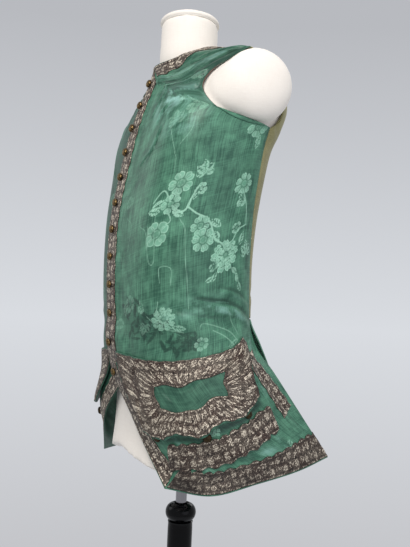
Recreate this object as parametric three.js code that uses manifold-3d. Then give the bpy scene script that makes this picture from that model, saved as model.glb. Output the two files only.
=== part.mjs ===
// A man's silk damask waistcoat of about 1750 with metal lace, worn on a limbless dress form with a turned stand.
// Millimetres, +Z up. The wearer faces -Y and the wearer's left is +X. The origin is on the floor under the rod.
import * as THREE from 'three';
import Module from 'manifold-3d';
import { mergeVertices } from 'three/addons/utils/BufferGeometryUtils.js';

const cloth = {
  thickness: 1.4, // silk, interlining and lining together
  overlap: 13, // how far each front runs past the centre
  lap: 28, // how far the left one does so from the ribs down
  seamGap: 0.45, // half of the parting at a sewn seam
  layerLift: 5.1, // the left front rides on the right front and its lace
};
const lace = { thickness: 1.1, gap: 0.85, narrow: 30, front: 36, wide: 36, margin: 2, waveDepth: 3.5 };
const button = { radius: 7.6, height: 6.4, sides: 8, gap: 0.85, frontCount: 12, pocketCount: 3 };
const grid = { columns: 12, skirtRows: 9, bodyRows: 18, neckRows: 5, armShare: 7 / 18 };
const form = { inset: 6.2, drop: 4.4, topDrop: 6.2, segments: 40, bottomArch: 36 };
const stand = {
  rodRadius: 10.5,
  columnRadius: 23.5,
  beadRadius: 29,
  beadHeight: 34,
  beadMiddle: 474,
  baseRadius: 165,
  baseHeight: 20,
  plateRadius: 42,
  plateHeight: 6,
  sides: 22,
  gap: 0.3,
};

// Level sections of the waistcoat's outer face: half width, the place of the widest line front to back,
// the depths in front of and behind it, and the squareness of each half (2 is an ellipse, 1 a diamond).
const garmentSections = [
  { z: 760, half: 170, middle: -24, front: 109, back: 128, squareFront: 2.9, squareBack: 2.4 },
  { z: 820, half: 166, middle: -29, front: 116, back: 124, squareFront: 3.0, squareBack: 2.45 },
  { z: 880, half: 164, middle: -32, front: 118, back: 126, squareFront: 3.0, squareBack: 2.45 },
  { z: 950, half: 164, middle: -33, front: 119, back: 126, squareFront: 3.0, squareBack: 2.45 },
  { z: 1027, half: 168, middle: -27, front: 122, back: 125, squareFront: 3.0, squareBack: 2.4 },
  { z: 1099, half: 175, middle: -17, front: 122, back: 124, squareFront: 3.1, squareBack: 2.4 },
  { z: 1151, half: 180, middle: -8, front: 122, back: 125, squareFront: 3.4, squareBack: 2.4 },
  { z: 1191, half: 180, middle: 4, front: 124, back: 131, squareFront: 3.6, squareBack: 2.45 },
  { z: 1237, half: 173, middle: 12, front: 117, back: 139, squareFront: 2.6, squareBack: 2.45 },
  { z: 1278, half: 174, middle: 14, front: 102, back: 122, squareFront: 1.9, squareBack: 2.2 },
  { z: 1300, half: 177, middle: 14, front: 96, back: 100, squareFront: 1.5, squareBack: 1.8 },
  { z: 1314, half: 174, middle: 13, front: 96, back: 76, squareFront: 1.3, squareBack: 1.45 },
  { z: 1322, half: 124, middle: 8, front: 83, back: 62, squareFront: 1.4, squareBack: 1.5 },
  { z: 1330, half: 97, middle: 2, front: 56, back: 54, squareFront: 1.6, squareBack: 1.7 },
  { z: 1337, half: 73, middle: -4, front: 40, back: 50, squareFront: 1.8, squareBack: 2.0 },
];

// The waistcoat's skirt below the waist, a row for each level, from the front edge round to the side vent.
const waistHeight = 850;
const frontSkirtRows = [
  { front: [155, -100, 566], second: [209, -40, 563], third: [217, 42, 579], fourth: [213, 122, 594], vent: [183, 203, 607] },
  { front: [60, -123, 659], second: [141, -108, 655], third: [197, -42, 655], fourth: [208, 54, 658], vent: [170, 168, 660] },
  { front: [-13, -128, 741], second: [90, -130, 741], third: [172, -76, 743], fourth: [193, 20, 747], vent: [146, 108, 752] },
  { front: [-13, -142.5, 800], second: [88, -138, 800], third: [164, -80, 800], fourth: [176, 14, 800], vent: [131, 75, 800] },
];
// The right front skirt stands further forward than the left, by these distances at the rows above, from the hem up.
const rightSkirtForward = [8, 15, 10, 5];
const rightEdgeForward = [8, 15, 0, 0];
const backSkirtRows = [
  { front: [138, 150, 604], second: [110, 172, 600], third: [75, 182, 597], fourth: [38, 176, 596], vent: [6, 166, 596] },
  { front: [139, 130, 680], second: [108, 148, 678], third: [72, 158, 677], fourth: [38, 152, 676], vent: [5, 144, 676] },
  { front: [137, 101, 762], second: [105, 116, 760], third: [70, 124, 760], fourth: [36, 123, 760], vent: [4, 120, 760] },
  { front: [133, 83, 802], second: [103, 98, 802], third: [70, 105, 802], fourth: [36, 106, 802], vent: [3, 105, 802] },
];

// The edges of the fronts and the back on the garment's surface, in degrees round from the centre front, and height.
const sideSeam = [
  { angle: 126, z: waistHeight },
  { angle: 123.5, z: 950 },
  { angle: 115.5, z: 1075 },
  { angle: 110, z: 1183 },
];
const armholeFront = [
  { angle: 110, z: 1183 },
  { angle: 92, z: 1184 },
  { angle: 78, z: 1196 },
  { angle: 68.5, z: 1218 },
  { angle: 64.5, z: 1244 },
  { angle: 68, z: 1270 },
  { angle: 79, z: 1295 },
  { angle: 91, z: 1313.5 },
];
const armholeBack = [
  { angle: 110, z: 1183 },
  { angle: 118, z: 1198 },
  { angle: 122, z: 1230 },
  { angle: 118, z: 1264 },
  { angle: 106, z: 1294 },
  { angle: 91, z: 1313.5 },
];
const neckline = [
  { angle: -7.7, z: 1307 },
  { angle: 9, z: 1308.5 },
  { angle: 23, z: 1309.5 },
  { angle: 43.6, z: 1322 },
  { angle: 68.8, z: 1333 },
  { angle: 94.8, z: 1337 },
];
const shoulderSeam = [
  { angle: 91, z: 1313.5 },
  { angle: 92, z: 1321 },
  { angle: 93.3, z: 1329 },
  { angle: 94.8, z: 1337 },
];

// The broad folds of the fronts, as soft troughs (depth below 0) and ridges on the surface.
const broadFolds = [
  { name: 'shoulder drag', from: [30, 1290], to: [80, 1318], depth: -2.4, width: 7 },
  { name: 'breast drag', from: [28, 1245], to: [66, 1292], depth: -2.2, width: 9 },
  { name: 'breast roll', from: [26, 1268], to: [72, 1306], depth: 1.6, width: 8 },
  { name: 'waist crease', from: [72, 866], to: [118, 884], depth: -1.8, width: 8 },
  { name: 'waist roll', from: [60, 846], to: [112, 862], depth: 1.6, width: 9 },
];

const flap = {
  columns: 14,
  rows: 5,
  thickness: 1.4,
  topGap: 2.1,
  footGap: 9,
  lobes: 3,
  lobeDepth: 0.004,
  // how far the lace comes in from each edge, as a share of the flap's width or height
  border: { left: 0.3, right: 0.24, foot: 0.28, top: 0.43 },
  rightRise: 0.015, // the right flap is pushed up a little
};
// Where the flap, the pocket's lace and the buttons under the flap lie on the front panel:
// a share of the way across from the front edge, and a share of the way up from the hem.
const flapTop = { from: [0.125, 0.222], to: [0.845, 0.283], sag: 0.034 };
const flapFoot = { from: [0.158, 0.08], to: [0.79, 0.134], sag: 0.018 };
const pocketSidePlaces = [[0.835, 0.232], [0.88, 0.18], [0.912, 0.145], [0.935, 0.112]];
const pocketLowPlaces = [
  [0.84, 0.106], [0.78, 0.1], [0.72, 0.088], [0.64, 0.077], [0.56, 0.066], [0.45, 0.056], [0.3, 0.05], [0.205, 0.048],
];
const pocketButtons = [[0.218, 0.076], [0.492, 0.084], [0.718, 0.117]];

const neckRings = [
  { z: 1284, radius: 50, middle: -21 },
  { z: 1320, radius: 54, middle: -24.5 },
  { z: 1350, radius: 53.5, middle: -24.5 },
  { z: 1389, radius: 53, middle: -24.5 },
];
const hipSections = [
  { z: 606, half: 138, middle: -26, front: 104, back: 108 },
  { z: 640, half: 142, middle: -26, front: 98, back: 110 },
  { z: 700, half: 146, middle: -26, front: 96, back: 112 },
  { z: 760, half: 149, middle: -27, front: 98, back: 113 },
  { z: 800, half: 153, middle: -28, front: 107, back: 116 },
];
// Each shoulder cap fills its armhole and bulges out of it.
const shoulderCap = { sink: 5.5, inset: 9.5, root: 34, reach: 50, rise: 0.2, fullness: 0.8, round: [72, 67], sides: 26, rings: 7 };
// The neck's top leans: its rim is highest toward the wearer's left front.
const neckCap = { radius: 55.5, height: 13, sides: 28, lean: 7, highest: 65 };

const wasm = await Module();
wasm.setup();

const degrees = (angle) => (angle * Math.PI) / 180;
const mix = (a, b, t) => a + (b - a) * t;
const smooth = (t) => {
  const clamped = Math.min(1, Math.max(0, t));
  return clamped * clamped * (3 - 2 * clamped);
};

// A smooth curve through rows of numbers, read at a place between 0 and 1 along the given stations.
function splineThrough(values, stations, at) {
  const last = values.length - 1;
  let k = 0;
  while (k < last - 1 && at > stations[k + 1]) k += 1;
  const slope = (i) => {
    const low = Math.max(0, i - 1);
    const high = Math.min(last, i + 1);
    return (values[high] - values[low]) / (stations[high] - stations[low]);
  };
  const span = stations[k + 1] - stations[k];
  const t = (at - stations[k]) / span;
  const startWeight = 2 * t ** 3 - 3 * t ** 2 + 1;
  const endWeight = 3 * t ** 2 - 2 * t ** 3;
  const startPull = t ** 3 - 2 * t ** 2 + t;
  const endPull = t ** 3 - t ** 2;
  return values[k] * startWeight + values[k + 1] * endWeight + (slope(k) * startPull + slope(k + 1) * endPull) * span;
}

function sectionAt(sections, z) {
  const stations = sections.map((row) => row.z);
  const read = {};
  for (const column of Object.keys(sections[0])) {
    read[column] = splineThrough(sections.map((row) => row[column]), stations, z);
  }
  return read;
}

// A point of a level section, by the direction round from the front.
function sectionPoint(section, angle, inset = 0) {
  const across = Math.sin(angle);
  const ahead = Math.cos(angle);
  const inFront = ahead >= 0;
  const depth = (inFront ? section.front : section.back) - inset;
  const square = (inFront ? section.squareFront : section.squareBack) ?? 2.2;
  const reach = (Math.abs(across / (section.half - inset)) ** square + Math.abs(ahead / depth) ** square) ** (-1 / square);
  return [reach * across, section.middle - reach * ahead];
}

// How far the broad folds move the cloth out at a place on the garment.
function foldLift(angleInDegrees, z) {
  const armSpan = 2.8; // millimetres of cloth for a degree round the body
  let lift = 0;
  for (const fold of broadFolds) {
    const along = [(fold.to[0] - fold.from[0]) * armSpan, fold.to[1] - fold.from[1]];
    const place = [(angleInDegrees - fold.from[0]) * armSpan, z - fold.from[1]];
    const length = Math.hypot(...along);
    const t = (place[0] * along[0] + place[1] * along[1]) / length ** 2;
    const off = (place[0] * along[1] - place[1] * along[0]) / length;
    const fade = Math.sin(Math.PI * Math.min(1, Math.max(0, t)));
    lift += fold.depth * fade * Math.exp(-((off / fold.width) ** 2));
  }
  return lift;
}

function garmentPoint(place, lapped) {
  const section = sectionAt(garmentSections, place.z);
  const angle = degrees(place.angle);
  const [x, y] = sectionPoint(section, angle);
  const atNeck = smooth((place.z - 1250) / 40);
  const overlapLift = lapped ? cloth.layerLift * (1 + 0.45 * atNeck) * (1 - smooth((place.angle - 7 - 12 * atNeck) / (11 + 6 * atNeck))) : 0;
  const lift = foldLift(Math.abs(place.angle), place.z) + overlapLift;
  const outward = new THREE.Vector3(Math.sin(angle), -Math.cos(angle), 0);
  return new THREE.Vector3(x, y, place.z).addScaledVector(outward, lift);
}

// A place along a list of places, by share of its length; heights and directions count alike.
function alongPlaces(places, t) {
  const stations = [0];
  for (let k = 1; k < places.length; k += 1) {
    const step = Math.hypot((places[k].angle - places[k - 1].angle) * 2.8, places[k].z - places[k - 1].z);
    stations.push(stations[k - 1] + step);
  }
  const at = t * stations[stations.length - 1];
  return {
    angle: splineThrough(places.map((p) => p.angle), stations, at),
    z: splineThrough(places.map((p) => p.z), stations, at),
  };
}

const addPlaces = (...terms) => ({
  angle: terms.reduce((sum, [weight, place]) => sum + weight * place.angle, 0),
  z: terms.reduce((sum, [weight, place]) => sum + weight * place.z, 0),
});

// Fills in the places between four edges, each a function from 0 to 1.
function fillBetween(left, right, bottom, top, u, v) {
  return addPlaces(
    [1 - u, left(v)],
    [u, right(v)],
    [1 - v, bottom(u)],
    [v, top(u)],
    [-(1 - u) * (1 - v), left(0)],
    [-u * (1 - v), right(0)],
    [-(1 - u) * v, left(1)],
    [-u * v, right(1)],
  );
}

// The direction of the front edge, past the centre by the overlap.
function frontEdgeAngle(z, lapped) {
  const overlap = lapped ? mix(cloth.lap, cloth.overlap, smooth((z - 980) / 200)) : cloth.overlap;
  const section = sectionAt(garmentSections, z);
  return (-Math.atan(overlap / section.front) * 180) / Math.PI;
}

const seamTurn = (cloth.seamGap / 165) * (180 / Math.PI);
const shift = (place, turn) => ({ angle: place.angle + turn, z: place.z });

// A panel is a grid of points on its outer face, in rows from the hem up.
class Panel {
  constructor(rows, thickness) {
    this.rows = rows;
    this.thickness = thickness;
    this.normals = rows.map((row, j) => row.map((_, i) => this.normalAtNode(i, j)));
  }

  normalAtNode(i, j) {
    const row = this.rows[j];
    const across = row[Math.min(i + 1, row.length - 1)].clone().sub(row[Math.max(i - 1, 0)]);
    const above = this.rows[Math.min(j + 1, this.rows.length - 1)][i];
    const below = this.rows[Math.max(j - 1, 0)][i];
    return across.cross(above.clone().sub(below)).normalize();
  }

  // The outer face and its normal between the nodes, at shares of the width and the height.
  at(u, v) {
    const columns = this.rows[0].length - 1;
    const levels = this.rows.length - 1;
    const x = Math.min(columns - 1e-9, Math.max(0, u * columns));
    const y = Math.min(levels - 1e-9, Math.max(0, v * levels));
    const i = Math.floor(x);
    const j = Math.floor(y);
    const [s, t] = [x - i, y - j];
    const blend = (nodes) => {
      const low = nodes[j][i].clone().lerp(nodes[j][i + 1], s);
      const high = nodes[j + 1][i].clone().lerp(nodes[j + 1][i + 1], s);
      return low.lerp(high, t);
    };
    // The point lies in the same flat half of the cell as in the wall.
    const [start, across, above, far] = [this.rows[j][i], this.rows[j][i + 1], this.rows[j + 1][i], this.rows[j + 1][i + 1]];
    const point = start.clone();
    if (s > t) point.addScaledVector(across.clone().sub(start), s).addScaledVector(far.clone().sub(across), t);
    else point.addScaledVector(above.clone().sub(start), t).addScaledVector(far.clone().sub(above), s);
    return { point, normal: blend(this.normals).normalize() };
  }

  // The place on the panel that lies a given vector away from a place on it.
  step(u, v, move) {
    const reach = 0.004;
    let place = [u, v];
    const target = this.at(u, v).point.add(move);
    for (let round = 0; round < 4; round += 1) {
      const here = this.at(...place).point;
      const acrossStep = this.at(Math.min(1, place[0] + reach), place[1]).point.sub(this.at(Math.max(0, place[0] - reach), place[1]).point);
      const upStep = this.at(place[0], Math.min(1, place[1] + reach)).point.sub(this.at(place[0], Math.max(0, place[1] - reach)).point);
      acrossStep.divideScalar(Math.min(1, place[0] + reach) - Math.max(0, place[0] - reach));
      upStep.divideScalar(Math.min(1, place[1] + reach) - Math.max(0, place[1] - reach));
      const away = target.clone().sub(here);
      const aa = acrossStep.dot(acrossStep);
      const bb = upStep.dot(upStep);
      const ab = acrossStep.dot(upStep);
      const determinant = aa * bb - ab * ab;
      const along = acrossStep.dot(away);
      const up = upStep.dot(away);
      place = [place[0] + (along * bb - up * ab) / determinant, place[1] + (up * aa - along * ab) / determinant];
      place = place.map((share) => Math.min(1, Math.max(0, share)));
    }
    return place;
  }

  wall() {
    const inner = this.rows.map((row, j) => row.map((p, i) => p.clone().addScaledVector(this.normals[j][i], -this.thickness)));
    return wallBetween(this.rows, inner);
  }
}

// A closed wall between an outer and an inner grid; a ring joins its last column to its first.
function wallBetween(outer, inner, ring = false) {
  const rows = outer.length;
  const columns = outer[0].length;
  const positions = [...outer.flat(), ...inner.flat()].flatMap((p) => [p.x, p.y, p.z]);
  const index = [];
  const out = (i, j) => j * columns + (i % columns);
  const into = (i, j) => rows * columns + out(i, j);
  const quad = (a, b, c, d) => index.push(a, b, c, a, c, d);
  const lastColumn = ring ? columns : columns - 1;
  for (let j = 0; j < rows - 1; j += 1) {
    for (let i = 0; i < lastColumn; i += 1) {
      quad(out(i, j), out(i + 1, j), out(i + 1, j + 1), out(i, j + 1));
      quad(into(i, j), into(i, j + 1), into(i + 1, j + 1), into(i + 1, j));
    }
  }
  for (let i = 0; i < lastColumn; i += 1) {
    quad(out(i, 0), into(i, 0), into(i + 1, 0), out(i + 1, 0));
    quad(out(i, rows - 1), out(i + 1, rows - 1), into(i + 1, rows - 1), into(i, rows - 1));
  }
  if (!ring) {
    for (let j = 0; j < rows - 1; j += 1) {
      quad(out(0, j), out(0, j + 1), into(0, j + 1), into(0, j));
      quad(out(columns - 1, j), into(columns - 1, j), into(columns - 1, j + 1), out(columns - 1, j + 1));
    }
  }
  return indexedGeometry(positions, index);
}

function indexedGeometry(positions, index) {
  const geometry = new THREE.BufferGeometry();
  geometry.setAttribute('position', new THREE.Float32BufferAttribute(positions, 3));
  geometry.setIndex(index);
  return geometry;
}

function mirrored(geometry) {
  const copy = geometry.clone().scale(-1, 1, 1);
  const index = copy.getIndex().array;
  for (let k = 0; k < index.length; k += 3) {
    [index[k + 1], index[k + 2]] = [index[k + 2], index[k + 1]];
  }
  return copy;
}

// A level row of the skirt, read through its five named points.
function skirtRowPoint(row, u) {
  const points = [row.front, row.second, row.third, row.fourth, row.vent];
  const stations = [0, 0.25, 0.5, 0.75, 1];
  return [0, 1, 2].map((axis) => splineThrough(points.map((p) => p[axis]), stations, u));
}

// A skirt from its rows below the waist and the garment's own sections at and above it.
function skirtPoint(table, waistPlace, lapped, u, v) {
  const rows = table.map((row) => skirtRowPoint(row, u));
  const waist = garmentPoint(waistPlace(u, waistHeight), lapped);
  const above = garmentPoint(waistPlace(u, waistHeight + 50), lapped);
  rows.push([waist.x, waist.y, waist.z], [above.x, above.y, above.z]);
  const stations = rows.map((_, k) => k / (rows.length - 2));
  const [x, y, z] = [0, 1, 2].map((axis) => splineThrough(rows.map((p) => p[axis]), stations, v));
  return new THREE.Vector3(x, y, z);
}

const lappedSkirtRows = frontSkirtRows.map((row) => {
  const [x, y, z] = row.front;
  return { ...row, front: [x < 0 ? -cloth.lap : x, y, z] };
});
const fullerSkirtRows = frontSkirtRows.map((row, k) => {
  const forward = (point, share) => [point[0], point[1] - rightSkirtForward[k] * share, point[2]];
  const { front, second, third, fourth, vent } = row;
  const edge = [front[0], front[1] - rightEdgeForward[k], front[2]];
  const lapShare = k < 2 ? 0.9 : 0.4;
  return { front: edge, second: forward(second, lapShare), third: forward(third, 0.55), fourth, vent };
});

function frontPanel(lapped) {
  const leftEdge = (v) => {
    const neckShare = grid.neckRows / grid.bodyRows;
    if (v <= 1 - neckShare) {
      const z = mix(waistHeight, neckline[0].z, v / (1 - neckShare));
      return { angle: frontEdgeAngle(z, lapped), z };
    }
    return shift(alongPlaces(neckline, (v - 1 + neckShare) / neckShare), -seamTurn * (v === 1 ? 1 : 0));
  };
  const rightEdge = (v) => {
    if (v <= 1 - grid.armShare) return shift(alongPlaces(sideSeam, v / (1 - grid.armShare)), -seamTurn);
    const t = (v - 1 + grid.armShare) / grid.armShare;
    return shift(alongPlaces(armholeFront, t), -seamTurn * (1 - t) - seamTurn * t);
  };
  const topEdge = (u) => shift(alongPlaces(shoulderSeam, 1 - u), -2.4 * seamTurn);
  const waistPlace = (u, z) => ({ angle: mix(frontEdgeAngle(z, lapped), sideSeam[0].angle - seamTurn, u), z });
  const bottomEdge = (u) => waistPlace(u, waistHeight);
  const rows = [];
  const frontLift = lapped ? cloth.layerLift + 6 : 0;
  for (let j = 0; j < grid.skirtRows; j += 1) {
    const v = j / grid.skirtRows;
    rows.push(
      Array.from({ length: grid.columns + 1 }, (_, i) => {
        const u = i / grid.columns;
        const point = skirtPoint(lapped ? lappedSkirtRows : fullerSkirtRows, waistPlace, lapped, u, v);
        point.y -= frontLift * (1 - smooth((u - 0.12) / 0.1)) * smooth((v - 0.25) / 0.25) * (1 - smooth((v - 0.75) / 0.25));
        return point;
      }),
    );
  }
  for (let j = 0; j <= grid.bodyRows; j += 1) {
    const v = j / grid.bodyRows;
    rows.push(
      Array.from({ length: grid.columns + 1 }, (_, i) => {
        const u = i / grid.columns;
        return garmentPoint(fillBetween(leftEdge, rightEdge, bottomEdge, topEdge, u, v), lapped);
      }),
    );
  }
  return new Panel(rows, cloth.thickness);
}

function backPanel() {
  const columns = 18;
  const levels = 18;
  const around = (place) => ({ angle: 360 - place.angle, z: place.z });
  const wearersLeft = (v) => {
    if (v <= 1 - grid.armShare) return shift(alongPlaces(sideSeam, v / (1 - grid.armShare)), seamTurn);
    return shift(alongPlaces(armholeBack, (v - 1 + grid.armShare) / grid.armShare), seamTurn);
  };
  const wearersRight = (v) => around(wearersLeft(v));
  const neckShare = 0.28;
  const halfTop = (u) => {
    if (u <= neckShare) return shift(alongPlaces(shoulderSeam, u / neckShare), 2.4 * seamTurn);
    return { angle: mix(94.8 + seamTurn, 180, (u - neckShare) / (0.5 - neckShare)), z: 1337 };
  };
  const topEdge = (u) => (u <= 0.5 ? halfTop(u) : around(halfTop(1 - u)));
  const bottomEdge = (u) => ({ angle: mix(wearersLeft(0).angle, wearersRight(0).angle, u), z: waistHeight });
  const rows = [];
  for (let j = 0; j <= levels; j += 1) {
    const v = j / levels;
    rows.push(
      Array.from({ length: columns + 1 }, (_, i) => {
        return garmentPoint(fillBetween(wearersLeft, wearersRight, bottomEdge, topEdge, i / columns, v), false);
      }),
    );
  }
  return new Panel(rows, cloth.thickness);
}

function backSkirtPanel() {
  const columns = 7;
  const levels = 8;
  const below = 0.985;
  const waistPlace = (u, z) => ({ angle: mix(sideSeam[0].angle + 2 * seamTurn, 179, u), z });
  const rows = [];
  for (let j = 0; j <= levels; j += 1) {
    const v = (j / levels) * below;
    rows.push(
      Array.from({ length: columns + 1 }, (_, i) => skirtPoint(backSkirtRows, waistPlace, false, i / columns, v)),
    );
  }
  return new Panel(rows, cloth.thickness);
}

// A band of metal lace on a panel: a path of shares, the band's near and far sides from it, and mitred ends.
function laceBand(panel, path, options) {
  const { near = lace.margin, far, steps, side = 1, startMitre = 0, endMitre = 0, waves = 0, lines = 3, narrowing = 0, widening = 0 } = options;
  const samples = 160;
  const stations = [0];
  const points = [];
  for (let k = 0; k <= samples; k += 1) points.push(panel.at(...path(k / samples)).point);
  for (let k = 1; k <= samples; k += 1) stations.push(stations[k - 1] + points[k].distanceTo(points[k - 1]));
  const length = stations[samples];
  const shareAt = (distance) => {
    const wanted = Math.min(length, Math.max(0, distance));
    let k = 0;
    while (k < samples - 1 && stations[k + 1] < wanted) k += 1;
    return (k + (wanted - stations[k]) / (stations[k + 1] - stations[k])) / samples;
  };
  const under = [];
  const over = [];
  for (let line = 0; line < lines; line += 1) {
    const lineShare = line / (lines - 1);
    const underRow = [];
    const overRow = [];
    for (let k = 0; k <= steps; k += 1) {
      const wavy = lineShare === 1 ? lace.waveDepth * Math.cos((2 * Math.PI * waves * k) / steps) : 0;
      const nearHere = near + narrowing * smooth((k / steps - 0.45) / 0.5);
      const farHere = far + widening * smooth((k / steps - 0.45) / 0.5);
      const away = mix(nearHere, farHere, lineShare) + (waves ? wavy : 0);
      const distance = mix(away * startMitre, length - away * endMitre, k / steps);
      const share = shareAt(distance);
      const before = panel.at(...path(Math.max(0, share - 0.01))).point;
      const after = panel.at(...path(Math.min(1, share + 0.01))).point;
      const [u, v] = path(share);
      const { normal } = panel.at(u, v);
      const tangent = after.sub(before).normalize();
      const sideways = normal.clone().cross(tangent).multiplyScalar(side * away);
      const { point, normal: up } = panel.at(...panel.step(u, v, sideways));
      underRow.push(point.clone().addScaledVector(up, lace.gap));
      overRow.push(point.clone().addScaledVector(up, lace.gap + lace.thickness));
    }
    under.push(underRow);
    over.push(overRow);
  }
  return side > 0 ? wallBetween(over, under) : wallBetween(over.reverse(), under.reverse());
}

const line = (from, to) => (t) => [mix(from[0], to[0], t), mix(from[1], to[1], t)];
const through = (places) => (t) => {
  const stations = places.map((_, k) => k / (places.length - 1));
  return [0, 1].map((axis) => splineThrough(places.map((p) => p[axis]), stations, t));
};

// The pocket flap hangs on the front from its top edge and stands off it towards its foot, which has shallow lobes.
function flapPanel(front, raised) {
  const rows = [];
  const sagging = (edge, t) => {
    const [u, v] = line(edge.from, edge.to)(t);
    return [u, v - edge.sag * Math.sin(Math.PI * t)];
  };
  const footRise = raised ? flap.rightRise : 0;
  for (let j = 0; j <= flap.rows; j += 1) {
    const down = 1 - j / flap.rows;
    const row = [];
    for (let i = 0; i <= flap.columns; i += 1) {
      const t = i / flap.columns;
      const top = sagging(flapTop, t);
      const foot = sagging(flapFoot, t);
      const lobe = flap.lobeDepth * Math.cos(2 * Math.PI * flap.lobes * t) * down;
      const { point, normal } = front.at(mix(top[0], foot[0], down), mix(top[1], foot[1] + footRise, down) + lobe);
      const off = flap.thickness + mix(flap.topGap, flap.footGap, down ** 1.5);
      row.push(point.addScaledVector(normal, off));
    }
    rows.push(row);
  }
  return new Panel(rows, flap.thickness);
}

// The lace round the flap: a frame between the flap's edge and a smaller outline inside it.
function flapLace(panel) {
  const perSide = { across: 14, up: 5 };
  const wide = panel.at(0, 0.5).point.distanceTo(panel.at(1, 0.5).point) * 1.12;
  const tall = panel.at(0.5, 0).point.distanceTo(panel.at(0.5, 1).point);
  const edge = (depth) => {
    const { left, right, foot, top } = flap.border;
    const [u0, u1] = [mix(lace.margin / wide, left, depth), 1 - mix(lace.margin / wide, right, depth)];
    const [v0, v1] = [mix(lace.margin / tall, foot, depth), 1 - mix(lace.margin / tall, top, depth)];
    const corners = [[u0, v0], [u1, v0], [u1, v1], [u0, v1]];
    const places = [];
    corners.forEach((corner, k) => {
      const next = corners[(k + 1) % 4];
      const steps = k % 2 ? perSide.up : perSide.across;
      for (let s = 0; s < steps; s += 1) places.push(line(corner, next)(s / steps));
    });
    return places;
  };
  const over = [];
  const under = [];
  for (const depth of [1, 0.75, 0.5, 0.25, 0]) {
    const nodes = edge(depth).map(([u, v]) => panel.at(u, v));
    under.push(nodes.map(({ point, normal }) => point.clone().addScaledVector(normal, lace.gap)));
    over.push(nodes.map(({ point, normal }) => point.clone().addScaledVector(normal, lace.gap + lace.thickness)));
  }
  return wallBetween(over.reverse(), under.reverse(), true);
}

// A domed button standing on a place, along its normal.
function buttonOn(panel, u, v, lift) {
  const { point, normal } = panel.at(u, v);
  const { radius, height } = button;
  const profile = [
    [0, 0],
    [radius * 0.55, 0],
    [radius * 0.97, height * 0.28],
    [radius * 0.86, height * 0.66],
    [radius * 0.45, height * 0.94],
    [0, height],
  ].map(([r, h]) => new THREE.Vector2(r, h));
  const geometry = mergeCorners(new THREE.LatheGeometry(profile, button.sides));
  geometry.applyQuaternion(new THREE.Quaternion().setFromUnitVectors(new THREE.Vector3(0, 1, 0), normal));
  const seat = point.addScaledVector(normal, lift);
  return geometry.translate(seat.x, seat.y, seat.z);
}

function mergeCorners(geometry) {
  const bare = geometry.clone();
  bare.deleteAttribute('normal');
  bare.deleteAttribute('uv');
  const merged = mergeVertices(bare, 1e-4);
  const source = merged.getIndex().array;
  const kept = [];
  for (let k = 0; k < source.length; k += 3) {
    const [a, b, c] = [source[k], source[k + 1], source[k + 2]];
    if (a !== b && b !== c && a !== c) kept.push(a, b, c);
  }
  merged.setIndex(kept);
  return merged;
}

function toManifold(geometry) {
  const merged = mergeCorners(geometry);
  return new wasm.Manifold(
    new wasm.Mesh({
      numProp: 3,
      vertProperties: new Float32Array(merged.getAttribute('position').array),
      triVerts: new Uint32Array(merged.getIndex().array),
    }),
  );
}

function fromManifold(manifold) {
  const mesh = manifold.getMesh();
  return indexedGeometry(Array.from(mesh.vertProperties), Array.from(mesh.triVerts));
}

// A lace with the cloth it lies on cut away where the two would touch.
function clearOf(lying, ...cloths) {
  return fromManifold(cloths.reduce((body, under) => body.subtract(toManifold(under)), toManifold(lying)));
}

// A closed body through rings of points, with a point in the middle of each end.
function ringBody(rings) {
  const around = rings[0].length;
  const positions = rings.flat().flatMap((p) => [p.x, p.y, p.z]);
  const index = [];
  for (let j = 0; j < rings.length - 1; j += 1) {
    for (let i = 0; i < around; i += 1) {
      const next = (i + 1) % around;
      const [a, b, c, d] = [j * around + i, j * around + next, (j + 1) * around + next, (j + 1) * around + i];
      index.push(a, b, c, a, c, d);
    }
  }
  for (const [ring, turn] of [[0, -1], [rings.length - 1, 1]]) {
    const middle = rings[ring].reduce((sum, p) => sum.add(p), new THREE.Vector3()).divideScalar(around);
    const centre = positions.length / 3;
    positions.push(middle.x, middle.y, middle.z);
    for (let i = 0; i < around; i += 1) {
      const [a, b] = [ring * around + i, ring * around + ((i + 1) % around)];
      index.push(...(turn > 0 ? [a, b, centre] : [b, a, centre]));
    }
  }
  return indexedGeometry(positions, index);
}

function shoulderCapBody() {
  const { sink, inset, root, reach, rise, fullness, round, sides, rings } = shoulderCap;
  const half = sides / 2;
  const edge = [];
  for (let k = 0; k < half; k += 1) edge.push(garmentPoint(alongPlaces(armholeFront, 1 - k / half), false));
  for (let k = 0; k < half; k += 1) edge.push(garmentPoint(alongPlaces(armholeBack, k / half), false));
  const centre = edge.reduce((sum, p) => sum.add(p), new THREE.Vector3()).divideScalar(edge.length);
  const under = edge.map((p) => {
    const inwards = centre.clone().sub(p);
    return p.clone().addScaledVector(inwards.normalize(), inset).add(new THREE.Vector3(-sink, 0, 0));
  });
  const oval = under.map((p) => {
    const turn = Math.atan2((p.z - centre.z) / round[1], (p.y - centre.y) / round[0]);
    return centre.clone().add(new THREE.Vector3(0, round[0] * Math.cos(turn), round[1] * Math.sin(turn)));
  });
  const bodyRings = [under.map((p) => centre.clone().lerp(p, 0.8).add(new THREE.Vector3(-root, 0, 0)))];
  for (let k = 0; k < rings; k += 1) {
    const turn = degrees((84 * k) / (rings - 1));
    const out = Math.sin(turn) ** fullness;
    const scale = Math.cos(turn) ** fullness;
    const away = new THREE.Vector3(reach * out, 0, reach * out * rise);
    bodyRings.push(under.map((p, i) => centre.clone().lerp(p.clone().lerp(oval[i], smooth(out * 1.4)), scale).add(away)));
  }
  return toManifold(ringBody(bodyRings));
}

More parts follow.
